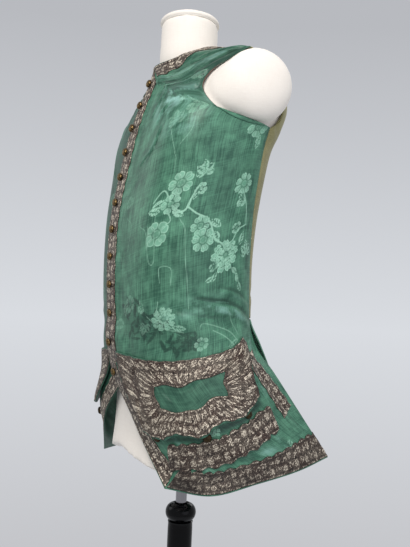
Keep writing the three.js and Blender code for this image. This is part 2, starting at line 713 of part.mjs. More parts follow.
function torso() {
  const levels = [];
  for (const row of hipSections) levels.push({ section: { ...row, squareFront: 2.3, squareBack: 2.3 }, z: row.z });
  for (const z of [826, 880, 950, 1027, 1099, 1151, 1191, 1225, 1255, 1278, 1295, 1306, 1314, 1322, 1330, 1337]) {
    const drop = z > 1290 ? form.topDrop : form.drop;
    levels.push({ section: sectionAt(garmentSections, z), z: z - drop, inset: form.inset });
  }
  const rings = levels.map(({ section, z, inset = 0 }, j) =>
    Array.from({ length: form.segments }, (_, i) => {
      const angle = (2 * Math.PI * i) / form.segments;
      const [x, y] = sectionPoint(section, angle, inset);
      const arch = j === 0 ? form.bottomArch * Math.sin(angle) ** 2 : 0;
      return new THREE.Vector3(x, y, z - arch);
    }),
  );
  const neck = neckRings.map(({ z, radius, middle }, j) =>
    Array.from({ length: neckCap.sides }, (_, i) => {
      const angle = (2 * Math.PI * i) / neckCap.sides;
      const point = new THREE.Vector3(radius * Math.sin(angle), middle - radius * Math.cos(angle), z);
      if (j === neckRings.length - 1) point.z += Math.tan(degrees(neckCap.lean)) * radius * Math.cos(angle - degrees(neckCap.highest));
      return point;
    }),
  );
  const cap = shoulderCapBody();
  const body = toManifold(ringBody(rings)).add(toManifold(ringBody(neck))).add(cap).add(cap.mirror([1, 0, 0]));
  return fromManifold(body);
}

// A turned piece from its profile, radius and height, standing on the axis.
function turned(profile, sides, x = 0, y = 0) {
  const points = profile.map(([radius, height]) => new THREE.Vector2(radius, height));
  const geometry = mergeCorners(new THREE.LatheGeometry(points, sides));
  return geometry.rotateX(Math.PI / 2).translate(x, y, 0);
}

function capOfNeck() {
  const top = neckRings[neckRings.length - 1];
  const { radius, height, lean, highest } = neckCap;
  const profile = [
    [0, stand.gap],
    [radius - 3, stand.gap],
    [radius, stand.gap + 2],
    [radius, height - 4],
    [radius - 4, height - 1],
    [radius * 0.5, height + 0.6],
    [0, height + 1],
  ];
  const toward = degrees(highest);
  const axis = new THREE.Vector3(-Math.cos(toward), -Math.sin(toward), 0);
  const leaning = new THREE.Quaternion().setFromAxisAngle(axis, degrees(lean));
  return turned(profile, neckCap.sides).applyQuaternion(leaning).translate(0, top.middle, top.z);
}

function standPieces() {
  const formFoot = hipSections[0].z;
  const beadTop = stand.beadMiddle + stand.beadHeight / 2;
  const beadFoot = stand.beadMiddle - stand.beadHeight / 2;
  const { rodRadius, beadRadius, columnRadius, baseRadius, baseHeight, plateRadius, plateHeight, gap, sides } = stand;
  const dip = form.bottomArch * 0.5; // the middle of the underside lies half the arch below its front
  const plateTop = formFoot - dip - (dip * stand.plateRadius) / hipSections[0].half + 1.4 * gap;
  const column = [
    [0, baseHeight + gap],
    [columnRadius + 9, baseHeight + gap],
    [columnRadius + 9, baseHeight + 12],
    [columnRadius, baseHeight + 24],
    [columnRadius, beadFoot],
    [beadRadius * 0.9, beadFoot + stand.beadHeight * 0.16],
    [beadRadius, stand.beadMiddle],
    [beadRadius * 0.88, beadTop - stand.beadHeight * 0.18],
    [rodRadius + 5, beadTop],
    [rodRadius + 1, beadTop - 5],
    [0, beadTop - 5],
  ];
  const rod = [
    [0, beadTop - 5 + gap],
    [rodRadius - 3, beadTop - 5 + gap],
    [rodRadius, beadTop + 5],
    [rodRadius, plateTop - plateHeight - gap],
    [0, plateTop - plateHeight - gap],
  ];
  const plate = [
    [0, plateTop - plateHeight],
    [plateRadius, plateTop - plateHeight],
    [plateRadius, plateTop],
    [0, plateTop],
  ];
  const base = [
    [0, 0],
    [baseRadius - 4, 0],
    [baseRadius, 4],
    [baseRadius, baseHeight - 8],
    [baseRadius - 12, baseHeight],
    [0, baseHeight],
  ];
  return { column: turned(column, sides), rod: turned(rod, 14), plate: turned(plate, 18), base: turned(base, 36) };
}

const finishes = {
  silk: { color: '#2f6b4f', roughness: 0.55, metalness: 0 },
  linen: { color: '#8f8a5c', roughness: 0.9, metalness: 0 },
  metalLace: { color: '#7c6f62', roughness: 0.5, metalness: 0.4 },
  gilt: { color: '#7d6234', roughness: 0.45, metalness: 0.6 },
  jersey: { color: '#efe9df', roughness: 0.85, metalness: 0 },
  steel: { color: '#6f6d74', roughness: 0.25, metalness: 1 },
  lacquer: { color: '#0b0b0d', roughness: 0.15, metalness: 0 },
};
const materials = Object.fromEntries(
  Object.entries(finishes).map(([name, values]) => [name, new THREE.MeshStandardMaterial(values)]),
);

const object = new THREE.Group();
function place(name, geometry, finish) {
  const mesh = new THREE.Mesh(geometry, materials[finish]);
  mesh.name = name;
  object.add(mesh);
}

// The share of the way up the front panel at which a height on its front edge lies.
function shareUpFrontEdge(panel, z) {
  let low = 0;
  let high = 1;
  for (let round = 0; round < 40; round += 1) {
    const middle = (low + high) / 2;
    if (panel.at(0, middle).point.z < z) low = middle;
    else high = middle;
  }
  return low;
}

function placeFront(side) {
  const lapped = side === 'left';
  const turnOver = lapped ? (geometry) => geometry : mirrored;
  const front = frontPanel(lapped);
  const put = (name, geometry, finish) => place(`${name}_${side}`, turnOver(geometry), finish);
  const frontWall = front.wall();
  const onFront = (path, options) => clearOf(laceBand(front, path, options), frontWall);
  put('front', frontWall, 'silk');
  const neckShare = (grid.skirtRows + grid.bodyRows - grid.neckRows) / (grid.skirtRows + grid.bodyRows);
  const edgeBand = { near: lace.margin * 0.6, far: lace.front, side: -1 };
  const edgePath = line([0, 0], [0, neckShare]);
  const neckPath = line([0, neckShare + 0.002], [0, 0.998]);
  const hemPath = line([0.008, 0], [1, 0]);
  const neckBand = { ...edgeBand, far: lace.narrow * 0.9, steps: 14, startMitre: 1.04 };
  const hemBand = { near: lace.margin * 2, far: lace.wide, steps: 56, startMitre: 0.53, waves: 14, widening: 12 };
  const pocketSide = { near: -lace.narrow * 0.6, far: lace.narrow * 0.6, steps: 12, side: -1 };
  const pocketLow = { near: -20, far: 22, steps: 44, side: -1, waves: 11, narrowing: 10 };
  put('front_lace', onFront(edgePath, { ...edgeBand, steps: 44, startMitre: 0.53, endMitre: 1.04 }), 'metalLace');
  put('neck_lace', onFront(neckPath, neckBand), 'metalLace');
  put('hem_lace', onFront(hemPath, hemBand), 'metalLace');
  put('pocket_side_lace', onFront(through(pocketSidePlaces), pocketSide), 'metalLace');
  put('pocket_low_lace', onFront(through(pocketLowPlaces), pocketLow), 'metalLace');
  const hanging = flapPanel(front, !lapped);
  const flapWall = hanging.wall();
  put('flap', flapWall, 'silk');
  put('flap_lace', clearOf(flapLace(hanging), flapWall), 'metalLace');
  pocketButtons.forEach(([u, v], k) => {
    put(`pocket_button_${k + 1}`, buttonOn(front, u, v, button.gap), 'gilt');
  });
  return front;
}

const leftFront = placeFront('left');
placeFront('right');
place('back', backPanel().wall(), 'linen');
const backSkirt = backSkirtPanel().wall();
place('back_skirt_left', backSkirt, 'silk');
place('back_skirt_right', mirrored(backSkirt), 'silk');

// The buttons stand nearer together on the breast than at the belly.
const buttonRow = { top: 1272, foot: 742, growth: 0.13, across: -2 };
for (let k = 0; k < button.frontCount; k += 1) {
  const t = k / (button.frontCount - 1);
  const z = mix(buttonRow.top, buttonRow.foot, t - buttonRow.growth * t * (1 - t));
  const v = shareUpFrontEdge(leftFront, z);
  const fromEdge = buttonRow.across - leftFront.at(0, v).point.x;
  const [u, level] = leftFront.step(0, v, new THREE.Vector3(fromEdge, 0, 0));
  place(`button_${k + 1}`, buttonOn(leftFront, u, level, lace.gap + lace.thickness + button.gap), 'gilt');
}

place('form_torso', torso(), 'jersey');
place('form_neck_cap', capOfNeck(), 'jersey');
const pieces = standPieces();
place('stand_plate', pieces.plate, 'steel');
place('stand_rod', pieces.rod, 'steel');
place('stand_column', pieces.column, 'lacquer');
place('stand_base', pieces.base, 'lacquer');

export default object;
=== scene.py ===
# A green silk damask waistcoat with metal lace, buttoned on a cream limbless form with a turned stand.
# Tables and shapes are in millimetres; makeObject turns them to metres.
import math
import bpy
import numpy as np
from mathutils import Matrix, Vector


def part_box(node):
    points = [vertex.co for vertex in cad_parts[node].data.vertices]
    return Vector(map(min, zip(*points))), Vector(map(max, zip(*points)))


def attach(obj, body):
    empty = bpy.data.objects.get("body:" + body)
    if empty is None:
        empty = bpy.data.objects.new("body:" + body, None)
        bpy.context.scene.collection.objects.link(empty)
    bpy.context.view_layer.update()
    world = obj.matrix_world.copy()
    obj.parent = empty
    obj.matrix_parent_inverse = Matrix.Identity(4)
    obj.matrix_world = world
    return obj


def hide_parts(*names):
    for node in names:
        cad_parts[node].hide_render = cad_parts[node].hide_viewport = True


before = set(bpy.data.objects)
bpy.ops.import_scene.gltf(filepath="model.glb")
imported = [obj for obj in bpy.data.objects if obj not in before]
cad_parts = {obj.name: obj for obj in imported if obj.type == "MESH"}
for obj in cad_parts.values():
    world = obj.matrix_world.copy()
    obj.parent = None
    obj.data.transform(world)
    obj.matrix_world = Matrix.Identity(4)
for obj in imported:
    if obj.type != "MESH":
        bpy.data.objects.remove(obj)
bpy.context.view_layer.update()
millimetre = 0.001
scene = bpy.context.scene
scene.view_settings.view_transform = "Standard"
print("frame loaded")


# curves and grids
def smooth(t):  # 3t^2 - 2t^3, held between 0 and 1
    t = np.clip(t, 0.0, 1.0)
    return t * t * (3.0 - 2.0 * t)


def mix(a, b, t):
    return a + (b - a) * t


def dot(a, b):
    return np.sum(a * b, axis=-1)


def unit(v):
    return v / np.maximum(np.linalg.norm(v, axis=-1, keepdims=True), 1e-9)


def splineThrough(values, stations, at):
    # cubic Hermite curve through rows of values; the slope at a row is that of its neighbours' chord
    values, stations, at = (np.asarray(x, float) for x in (values, stations, at))
    last = len(values) - 1
    low, high = np.maximum(np.arange(last + 1) - 1, 0), np.minimum(np.arange(last + 1) + 1, last)
    wide = (slice(None),) + (None,) * (values.ndim - 1)
    slopes = (values[high] - values[low]) / (stations[high] - stations[low])[wide]
    flat = at.ravel()
    k = np.clip(np.searchsorted(stations[1:-1], flat), 0, last - 1)
    span = (stations[k + 1] - stations[k])[wide]
    t = ((flat - stations[k])[wide]) / span
    curve = values[k] * (2 * t**3 - 3 * t**2 + 1) + values[k + 1] * (3 * t**2 - 2 * t**3)
    curve += (slopes[k] * (t**3 - 2 * t**2 + t) + slopes[k + 1] * (t**3 - t**2)) * span
    return curve.reshape(at.shape + values.shape[1:])


def readGrid(grid, u, v):
    # the value between the nodes of a grid (rows, columns, ...), by shares of its width and height
    rows, columns = grid.shape[0] - 1, grid.shape[1] - 1
    x = np.clip(np.asarray(u, float) * columns, 0, columns - 1e-9)
    y = np.clip(np.asarray(v, float) * rows, 0, rows - 1e-9)
    i, j = x.astype(int), y.astype(int)
    s, t = x - i, y - j
    if grid.ndim == 3:
        s, t = s[..., None], t[..., None]
    low = grid[j, i] * (1 - s) + grid[j, i + 1] * s
    high = grid[j + 1, i] * (1 - s) + grid[j + 1, i + 1] * s
    return low * (1 - t) + high * t


def alongPlaces(places, t):
    # a smooth curve through (direction, height) places, by share of its length
    places = np.asarray(places, float)
    step = np.hypot(np.diff(places[:, 0]) * 2.8, np.diff(places[:, 1]))
    stations = np.concatenate([[0.0], np.cumsum(step)])
    return splineThrough(places, stations, np.asarray(t) * stations[-1])


def fillBetween(left, right, bottom, top, u, v):
    # Coons fill: each pair of facing edges blended, less the blend of the four corners
    u, v = u[None, :, None], v[:, None, None]
    sides = (1 - u) * left[:, None] + u * right[:, None] + (1 - v) * bottom[None] + v * top[None]
    corners = (1 - u) * ((1 - v) * left[0] + v * left[-1]) + u * ((1 - v) * right[0] + v * right[-1])
    return sides - corners


# meshes
def rimFaces(fine, coarse, step):
    # triangles between a fine edge and a coarse one that has a point for every few of its points
    k = np.arange(len(fine) - 1)
    owner = coarse[(k + step // 2) // step]
    middle = fine[np.arange(len(coarse) - 1) * step + step // 2]
    return np.concatenate(
        [np.stack([fine[:-1], fine[1:], owner], 1), np.stack([middle, coarse[1:], coarse[:-1]], 1)]
    )


def gridFaces(rows, columns, start, ring):
    # quads of a grid of points numbered row by row; a ring joins the last column to the first
    i, j = np.meshgrid(np.arange(columns if ring else columns - 1), np.arange(rows - 1))
    i, j, after = i.ravel(), j.ravel(), ((i + 1) % columns).ravel()
    return start + np.stack(
        [j * columns + i, j * columns + after, (j + 1) * columns + after, (j + 1) * columns + i], 1
    )


def wallFaces(rows, columns, step, ring):
    # a closed wall: a fine outer grid, a coarser inner grid turned round, and the rims between them
    coarseRows, coarseColumns = (rows - 1) // step + 1, columns // step if ring else (columns - 1) // step + 1
    start = rows * columns
    faces = [gridFaces(rows, columns, 0, ring), gridFaces(coarseRows, coarseColumns, start, ring)[:, ::-1]]
    out = np.arange(start).reshape(rows, columns)
    into = start + np.arange(coarseRows * coarseColumns).reshape(coarseRows, coarseColumns)
    if ring:
        out, into = np.concatenate([out, out[:, :1]], 1), np.concatenate([into, into[:, :1]], 1)
    faces.append(rimFaces(out[-1], into[-1], step))
    faces.append(rimFaces(out[0], into[0], step)[:, ::-1])
    if not ring:
        faces.append(rimFaces(out[:, 0], into[:, 0], step))
        faces.append(rimFaces(out[:, -1], into[:, -1], step)[:, ::-1])
    return faces


def makeObject(name, points, faces, finish, node, slot, uv=None, marks=None, mirror=False, sharp=None):
    points = np.asarray(points, float) * millimetre
    if mirror:
        points = points * np.array([-1.0, 1.0, 1.0])
        faces = [f[:, ::-1] for f in faces]
    mesh = bpy.data.meshes.new(name)
    sizes = np.concatenate([np.full(len(f), f.shape[1]) for f in faces])
    loops = np.concatenate([f.ravel() for f in faces]).astype(np.int32)
    mesh.vertices.add(len(points))
    mesh.vertices.foreach_set("co", points.ravel())
    mesh.loops.add(len(loops))
    mesh.loops.foreach_set("vertex_index", loops)
    mesh.polygons.add(len(sizes))
    mesh.polygons.foreach_set("loop_start", (np.cumsum(sizes) - sizes).astype(np.int32))
    mesh.update(calc_edges=True)
    mesh.polygons.foreach_set("use_smooth", np.ones(len(sizes), bool))
    if uv is not None:
        layer = mesh.uv_layers.new(name="cloth")
        layer.data.foreach_set("uv", (np.asarray(uv, float)[loops] * millimetre).ravel())
    for mark, values in (marks or {}).items():
        mesh.attributes.new(mark, "FLOAT", "POINT").data.foreach_set(
            "value", np.asarray(values, float).ravel()
        )
    if sharp:
        mesh.set_sharp_from_angle(angle=math.radians(sharp))
    mesh.materials.append(finish)
    made = bpy.data.objects.new(name, mesh)
    scene.collection.objects.link(made)
    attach(made, "root")
    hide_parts(*([node] if isinstance(node, str) else node))
    return made


def wallObject(name, outer, inner, finish, node, slot, uv, marks=None, mirror=False, step=4, ring=False):
    # outer and inner are grids of one size; the inner one is thinned out
    rows, columns = outer.shape[:2]
    thin = (slice(None, None, step), slice(None, None, step))
    points = np.concatenate([outer.reshape(-1, 3), inner[thin].reshape(-1, 3)])
    uvAll = np.concatenate([uv.reshape(-1, 2), uv[thin].reshape(-1, 2)])
    marksAll = {k: np.concatenate([m.ravel(), m[thin].ravel()]) for k, m in (marks or {}).items()}
    faces = wallFaces(rows, columns, step, ring)
    return makeObject(name, points, faces, finish, node, slot, uvAll, marksAll, mirror)


def ringFaces(levels, around):
    # a closed body through rings of points, with a point in the middle of each end
    faces = gridFaces(levels, around, 0, True)
    first, last = np.arange(around), (levels - 1) * around + np.arange(around)
    low, high = levels * around, levels * around + 1
    foot = np.stack([np.roll(first, -1), first, np.full(around, low)], 1)
    head = np.stack([last, np.roll(last, -1), np.full(around, high)], 1)
    return [faces, foot, head]


def ringPoints(rings):
    return np.concatenate([rings.reshape(-1, 3), rings[0].mean(0)[None], rings[-1].mean(0)[None]])


# materials
def colour(code):  # sRGB hex to linear
    parts = [int(code[k : k + 2], 16) / 255 for k in (1, 3, 5)]
    return tuple(p / 12.92 if p <= 0.04045 else ((p + 0.055) / 1.055) ** 2.4 for p in parts) + (1.0,)


def addNode(tree, kind, inputs=(), output=0, **settings):
    # a node with its settings; each input, by place or by name, is a value or the socket that feeds it
    node = tree.nodes.new("ShaderNode" + kind)
    for name, value in settings.items():
        setattr(node, name, value)
    for place, value in inputs.items() if isinstance(inputs, dict) else enumerate(inputs):
        if isinstance(value, bpy.types.NodeSocket):
            tree.links.new(value, node.inputs[place])
        else:
            node.inputs[place].default_value = value
    return node.outputs[output]


def newMaterial(name, settings):
    material = bpy.data.materials.new(name)
    material.use_nodes = True
    tree = material.node_tree
    shader = tree.nodes["Principled BSDF"]
    for socket, value in settings.items():
        shader.inputs[socket].default_value = value
    return material, tree, shader


def feed(tree, shader, sources):
    for socket, source in sources.items():
        tree.links.new(source, shader.inputs[socket])


silkTone = {
    "ground": "#2a5847", "groundPale": "#5f987c", "groundDeep": "#173c31", "bloom": "#b4e4cb",
    "bloomFaded": "#5b9c80", "dusk": "#0f2f27", "sheen": "#98c8c0", "binding": "#5c3d33", "tint": "#a8e0cc",
}
silkGloss = {
    "Roughness": 0.46, "Sheen Weight": 0.06, "Sheen Roughness": 0.35, "Specular IOR Level": 0.4, "IOR": 1.5,
}
silkStreaks = {  # noise cells in a metre of cloth across and along, detail, and where it starts
    "warp": (520.0, 14.0, 3.0, 3.1),  # the threads up the cloth, drawn 2 mm apart so that they show
    "weft": (11.0, 460.0, 3.0, 7.7),
    "broad": (16.0, 11.0, 4.0, 1.3),
    "cloud": (45.0, 38.0, 5.0, 5.9),
}


def silkDamask():
    # silk damask: a satin ground with a matter, paler pattern; fine threads catch the light in soft streaks;
    # the cloth's marks add painted sheen and painted shade
    material, tree, shader = newMaterial("silkDamask", silkGloss)
    shader.inputs["Sheen Tint"].default_value = colour(silkTone["tint"])
    place = addNode(tree, "UVMap", uv_map="cloth")
    streak = {}
    for name, (across, along, detail, start) in silkStreaks.items():
        scale, shift = (across, along, 1.0), (start, start * 0.7, 0.0)
        turned = addNode(tree, "Mapping", {"Vector": place, "Scale": scale, "Location": shift})
        noise = {"Vector": turned, "Scale": 1.0, "Detail": detail, "Roughness": 0.6}
        streak[name] = addNode(tree, "TexNoise", noise)
    warp, weft, broad, cloud = streak.values()
    mark = {}
    for name in ("bloom", "strength", "dusk", "paintedSheen", "edge"):
        mark[name] = addNode(tree, "Attribute", output="Fac", attribute_name=name)
    # the ground: pale and dark threads, then broad clouds, speckles of painted sheen, and dark places:
    # painted shade and shadow, other darker places and the pattern's dark leaves
    mottle = addNode(tree, "Math", (warp, 0.42), operation="MULTIPLY")
    mottle = addNode(tree, "Math", (weft, 0.20, mottle), operation="MULTIPLY_ADD")
    mottle = addNode(tree, "Math", (cloud, 0.45, mottle), operation="MULTIPLY_ADD")
    pale = addNode(tree, "MapRange", (mottle, 0.44, 0.66))
    tones = {0: pale, 6: colour(silkTone["ground"]), 7: colour(silkTone["groundPale"])}
    ground = addNode(tree, "Mix", tones, 2, data_type="RGBA")
    deep = addNode(tree, "MapRange", (broad, 0.42, 0.66, 0.0, 0.30))
    ground = addNode(
        tree, "Mix", {0: deep, 6: ground, 7: colour(silkTone["groundDeep"])}, 2, data_type="RGBA"
    )
    # painted sheen: a pale bluish tint, speckled by the clouds, where the cloth is marked for it
    speckle = addNode(tree, "MapRange", (cloud, 0.43, 0.62))
    paintedSheen = addNode(tree, "Math", (mark["paintedSheen"], speckle), operation="MULTIPLY")
    ground = addNode(tree, "Mix", {0: paintedSheen, 6: ground, 7: colour(silkTone["sheen"])}, 2, data_type="RGBA")
    # a deep green for painted shade and shadow, for other darker places and for the pattern's dark leaves
    tones = {0: mark["dusk"], 6: ground, 7: colour(silkTone["dusk"])}
    ground = addNode(tree, "Mix", tones, 2, data_type="RGBA")
    # the pattern: its edge is where the signed distance passes nought, and it fades towards the middle
    edge = {"interpolation_type": "SMOOTHSTEP"}
    inside = addNode(tree, "MapRange", (mark["bloom"], -0.55, 0.65), **edge)
    worn = addNode(tree, "Math", (warp, cloud), operation="ADD")
    worn = addNode(tree, "Math", (worn, 0.62, 0.28), operation="MULTIPLY_ADD")
    share = addNode(tree, "Math", (inside, mark["strength"]), operation="MULTIPLY")
    share = addNode(tree, "Math", (share, worn), operation="MULTIPLY")
    share = addNode(tree, "Math", (share, 1.0), operation="MINIMUM")
    middle = addNode(tree, "MapRange", (mark["bloom"], 0.9, 2.6, 0.0, 0.7))
    middle = addNode(tree, "Math", (middle, cloud), operation="ADD")
    middle = addNode(tree, "Math", (middle, 0.6), operation="MULTIPLY")
    tones = {0: middle, 6: colour(silkTone["bloom"]), 7: colour(silkTone["bloomFaded"])}
    petals = addNode(tree, "Mix", tones, 2, data_type="RGBA")
    body = addNode(tree, "Mix", {0: share, 6: ground, 7: petals}, 2, data_type="RGBA")
    body = addNode(
        tree, "Mix", {0: mark["edge"], 6: body, 7: colour(silkTone["binding"])}, 2, data_type="RGBA"
    )
    rough = addNode(tree, "Math", (cloud, 0.22, 0.30), operation="MULTIPLY_ADD")
    rough = addNode(tree, "Math", (inside, 0.16, rough), operation="MULTIPLY_ADD")
    height = addNode(tree, "Math", (warp, weft), operation="ADD")
    height = addNode(tree, "Math", (height, 0.5), operation="MULTIPLY")
    height = addNode(tree, "Math", (inside, 0.35, height), operation="MULTIPLY_ADD")
    bump = addNode(tree, "Bump", {"Strength": 0.35, "Distance": 0.0005, "Height": height})
    feed(tree, shader, {"Base Color": body, "Roughness": rough, "Normal": bump})
    return material


laceTone = {"dark": "#1b1614", "middle": "#665c52", "light": "#e0d5c2", "rust": "#4a3830"}


def metalLace():
    # galloon of tarnished metal thread: bright flat wire over dark gaps, browned where the silver is gone;
    # the palest speckles on the raised wire are painted glints and the darkest low places are painted shade
    material, tree, shader = newMaterial("metalLace", {"Roughness": 0.42, "Metallic": 0.35, "IOR": 1.5})
    place = addNode(tree, "UVMap", uv_map="cloth")
    relief = addNode(tree, "Attribute", output="Fac", attribute_name="relief")
    darkening = addNode(tree, "Attribute", output="Fac", attribute_name="darkening")
    cells = addNode(tree, "TexVoronoi", {"Vector": place, "Scale": 480.0})  # loops of wire about 2 mm apart
    fine = addNode(tree, "TexNoise", {"Vector": place, "Scale": 420.0, "Detail": 3.0, "Roughness": 0.7})
    broad = addNode(tree, "TexNoise", {"Vector": place, "Scale": 32.0, "Detail": 2.0})
    raised = addNode(tree, "Math", (relief, 0.75), operation="MULTIPLY")
    raised = addNode(tree, "Math", (fine, 1.1, raised), operation="MULTIPLY_ADD")
    raised = addNode(tree, "Math", (cells, -0.55, raised), operation="MULTIPLY_ADD")
    soft = {"interpolation_type": "SMOOTHSTEP"}
    # painted highlight on the highest speckles of wire, painted shade in the lowest places between
    light = addNode(tree, "MapRange", (raised, 0.55, 0.88), **soft)
    dark = addNode(tree, "MapRange", (raised, 0.44, 0.08), **soft)
    rust = addNode(tree, "MapRange", (broad, 0.4, 0.7))
    tones = {0: rust, 6: colour(laceTone["middle"]), 7: colour(laceTone["rust"])}
    tone = addNode(tree, "Mix", tones, 2, data_type="RGBA")
    for share, name in ((light, "light"), (dark, "dark"), (darkening, "dark")):
        tone = addNode(tree, "Mix", {0: share, 6: tone, 7: colour(laceTone[name])}, 2, data_type="RGBA")
    bump = addNode(tree, "Bump", {"Strength": 0.8, "Distance": 0.0008, "Height": raised})
    feed(tree, shader, {"Base Color": tone, "Normal": bump})
    return material


giltTone = {"furrow": "#1a120a", "thread": "#94794b"}


def giltThread():
    # buttons worked in gilt thread over a wooden mould: brown gold, dark in the furrows
    material, tree, shader = newMaterial("giltThread", {"Roughness": 0.34, "Metallic": 0.75})
    relief = addNode(tree, "Attribute", output="Fac", attribute_name="relief")
    place = addNode(tree, "TexCoord", output="Object")
    fine = addNode(tree, "TexNoise", {"Vector": place, "Scale": 900.0, "Detail": 2.0})
    share = addNode(tree, "Math", (relief, 0.7), operation="MULTIPLY")
    share = addNode(tree, "Math", (fine, 0.4, share), operation="MULTIPLY_ADD")
    shade = addNode(tree, "MapRange", (share, 0.22, 1.0))
    tones = {0: shade, 6: colour(giltTone["furrow"]), 7: colour(giltTone["thread"])}
    tone = addNode(tree, "Mix", tones, 2, data_type="RGBA")
    bump = addNode(tree, "Bump", {"Strength": 0.5, "Distance": 0.0004, "Height": share})
    feed(tree, shader, {"Base Color": tone, "Normal": bump})
    return material


def plainWeave(name, tone, spacing, roughness, strength):
    # a plain weave: threads over and under, with slubs where they are uneven
    settings = {"Roughness": roughness, "Sheen Weight": 0.15, "Specular IOR Level": 0.3}
    material, tree, shader = newMaterial(name, settings)
    place = addNode(tree, "TexCoord", output="Object")
    perMetre = 2 * math.pi / (spacing * millimetre)
    threads = []
    for scale in ((1.0, 1.0, 0.04), (0.06, 0.06, 1.0)):
        turned = addNode(tree, "Mapping", {"Vector": place, "Scale": scale})
        threads.append(addNode(tree, "TexNoise", {"Vector": turned, "Scale": perMetre / 6, "Detail": 2.0}))
    slubs = addNode(tree, "TexNoise", {"Vector": place, "Scale": 28.0, "Detail": 4.0})
    height = addNode(tree, "Math", threads, operation="ADD")
    share = addNode(tree, "Math", (height, 0.4), operation="MULTIPLY")
    share = addNode(tree, "Math", (slubs, 0.35, share), operation="MULTIPLY_ADD")
    share = addNode(tree, "MapRange", (share, 0.35, 0.8))
    tones = {0: share, 6: colour(tone["dark"]), 7: colour(tone["pale"])}
    body = addNode(tree, "Mix", tones, 2, data_type="RGBA")
    bump = addNode(tree, "Bump", {"Strength": strength, "Distance": 0.0003, "Height": height})
    feed(tree, shader, {"Base Color": body, "Normal": bump})
    return material


def polishedSteel():
    # a drawn steel rod, polished: tight highlights with faint marks along it
    material, tree, shader = newMaterial("polishedSteel", {"Metallic": 1.0})
    place = addNode(tree, "TexCoord", output="Object")
    turned = addNode(tree, "Mapping", {"Vector": place, "Scale": (600.0, 600.0, 12.0)})
    marks = addNode(tree, "TexNoise", {"Vector": turned, "Scale": 1.0, "Detail": 3.0})
    rough = addNode(tree, "Math", (marks, 0.12, 0.07), operation="MULTIPLY_ADD")
    tone = addNode(tree, "Mix", {0: marks, 6: colour("#8b8a8e"), 7: colour("#b2b1b5")}, 2, data_type="RGBA")
    feed(tree, shader, {"Base Color": tone, "Roughness": rough})
    return material


lacquerGloss = {
    "Roughness": 0.16, "Specular IOR Level": 0.14, "Coat Weight": 0.06, "Coat Roughness": 0.05, "IOR": 1.5,
}


def blackLacquer():
    # turned beech under black gloss lacquer: mirror-like, with the wood's turning just felt under it
    material, tree, shader = newMaterial("blackLacquer", lacquerGloss)
    place = addNode(tree, "TexCoord", output="Object")
    turned = addNode(tree, "Mapping", {"Vector": place, "Scale": (20.0, 20.0, 240.0)})
    rings = addNode(tree, "TexNoise", {"Vector": turned, "Scale": 1.0, "Detail": 3.0})
    tone = addNode(tree, "Mix", {0: rings, 6: colour("#020203"), 7: colour("#08080a")}, 2, data_type="RGBA")
    rough = addNode(tree, "Math", (rings, 0.12, 0.12), operation="MULTIPLY_ADD")
    bump = addNode(tree, "Bump", {"Strength": 0.12, "Distance": 0.0003, "Height": rings})
    feed(tree, shader, {"Base Color": tone, "Roughness": rough, "Normal": bump})
    return material


weaveTone = {
    "linen": {"dark": "#6f6b42", "pale": "#a29c6b"},
    "jersey": {"dark": "#ebe4db", "pale": "#f4efe7"},
}
silk = silkDamask()
laceFinish = metalLace()
giltFinish = giltThread()
linen = plainWeave("backLinen", weaveTone["linen"], 1.2, 0.85, 0.5)
jersey = plainWeave("formJersey", weaveTone["jersey"], 1.0, 0.85, 0.25)
steel = polishedSteel()
lacquer = blackLacquer()
print("materials made")

# the garment's surface
cloth = {
    "thickness": 1.4, "overlap": 13.0, "lap": 28.0, "lapTo": 980.0, "lapOver": 200.0, "seamGap": 0.45,
    "layerLift": 5.1, "waist": 850.0,
}
# level sections of the outer face: z, half width, middle, depth in front and behind, squareness in front
# and behind
garmentSections = np.array([
    [760, 170, -24, 109, 128, 2.9, 2.4], [820, 166, -29, 116, 124, 3.0, 2.45],
    [880, 164, -32, 118, 126, 3.0, 2.45], [950, 164, -33, 119, 126, 3.0, 2.45],
    [1027, 168, -27, 122, 125, 3.0, 2.4], [1099, 175, -17, 122, 124, 3.1, 2.4],
    [1151, 180, -8, 122, 125, 3.4, 2.4], [1191, 180, 4, 124, 131, 3.6, 2.45],
    [1237, 173, 12, 117, 139, 2.6, 2.45], [1278, 174, 14, 102, 122, 1.9, 2.2],
    [1300, 177, 14, 96, 100, 1.5, 1.8], [1314, 174, 13, 96, 76, 1.3, 1.45], [1322, 124, 8, 83, 62, 1.4, 1.5],
    [1330, 97, 2, 56, 54, 1.6, 1.7], [1337, 73, -4, 40, 50, 1.8, 2.0],
])
# the skirt's rows from the front edge round to the vent, from the hem up
frontSkirtRows = np.array([
    [[155, -100, 566], [209, -40, 563], [217, 42, 579], [213, 122, 594], [183, 203, 607]],
    [[60, -123, 659], [141, -108, 655], [197, -42, 655], [208, 54, 658], [170, 168, 660]],
    [[-13, -128, 741], [90, -130, 741], [172, -76, 743], [193, 20, 747], [146, 108, 752]],
    [[-13, -142.5, 800], [88, -138, 800], [164, -80, 800], [176, 14, 800], [131, 75, 800]],
])
rightForward = {
    "edge": [8, 15, 0, 0], "skirt": [8, 15, 10, 5], "second": [0.9, 0.9, 0.4, 0.4], "third": 0.55
}
backSkirtRows = np.array([
    [[138, 150, 604], [110, 172, 600], [75, 182, 597], [38, 176, 596], [6, 166, 596]],
    [[139, 130, 680], [108, 148, 678], [72, 158, 677], [38, 152, 676], [5, 144, 676]],
    [[137, 101, 762], [105, 116, 760], [70, 124, 760], [36, 123, 760], [4, 120, 760]],
    [[133, 83, 802], [103, 98, 802], [70, 105, 802], [36, 106, 802], [3, 105, 802]],
])
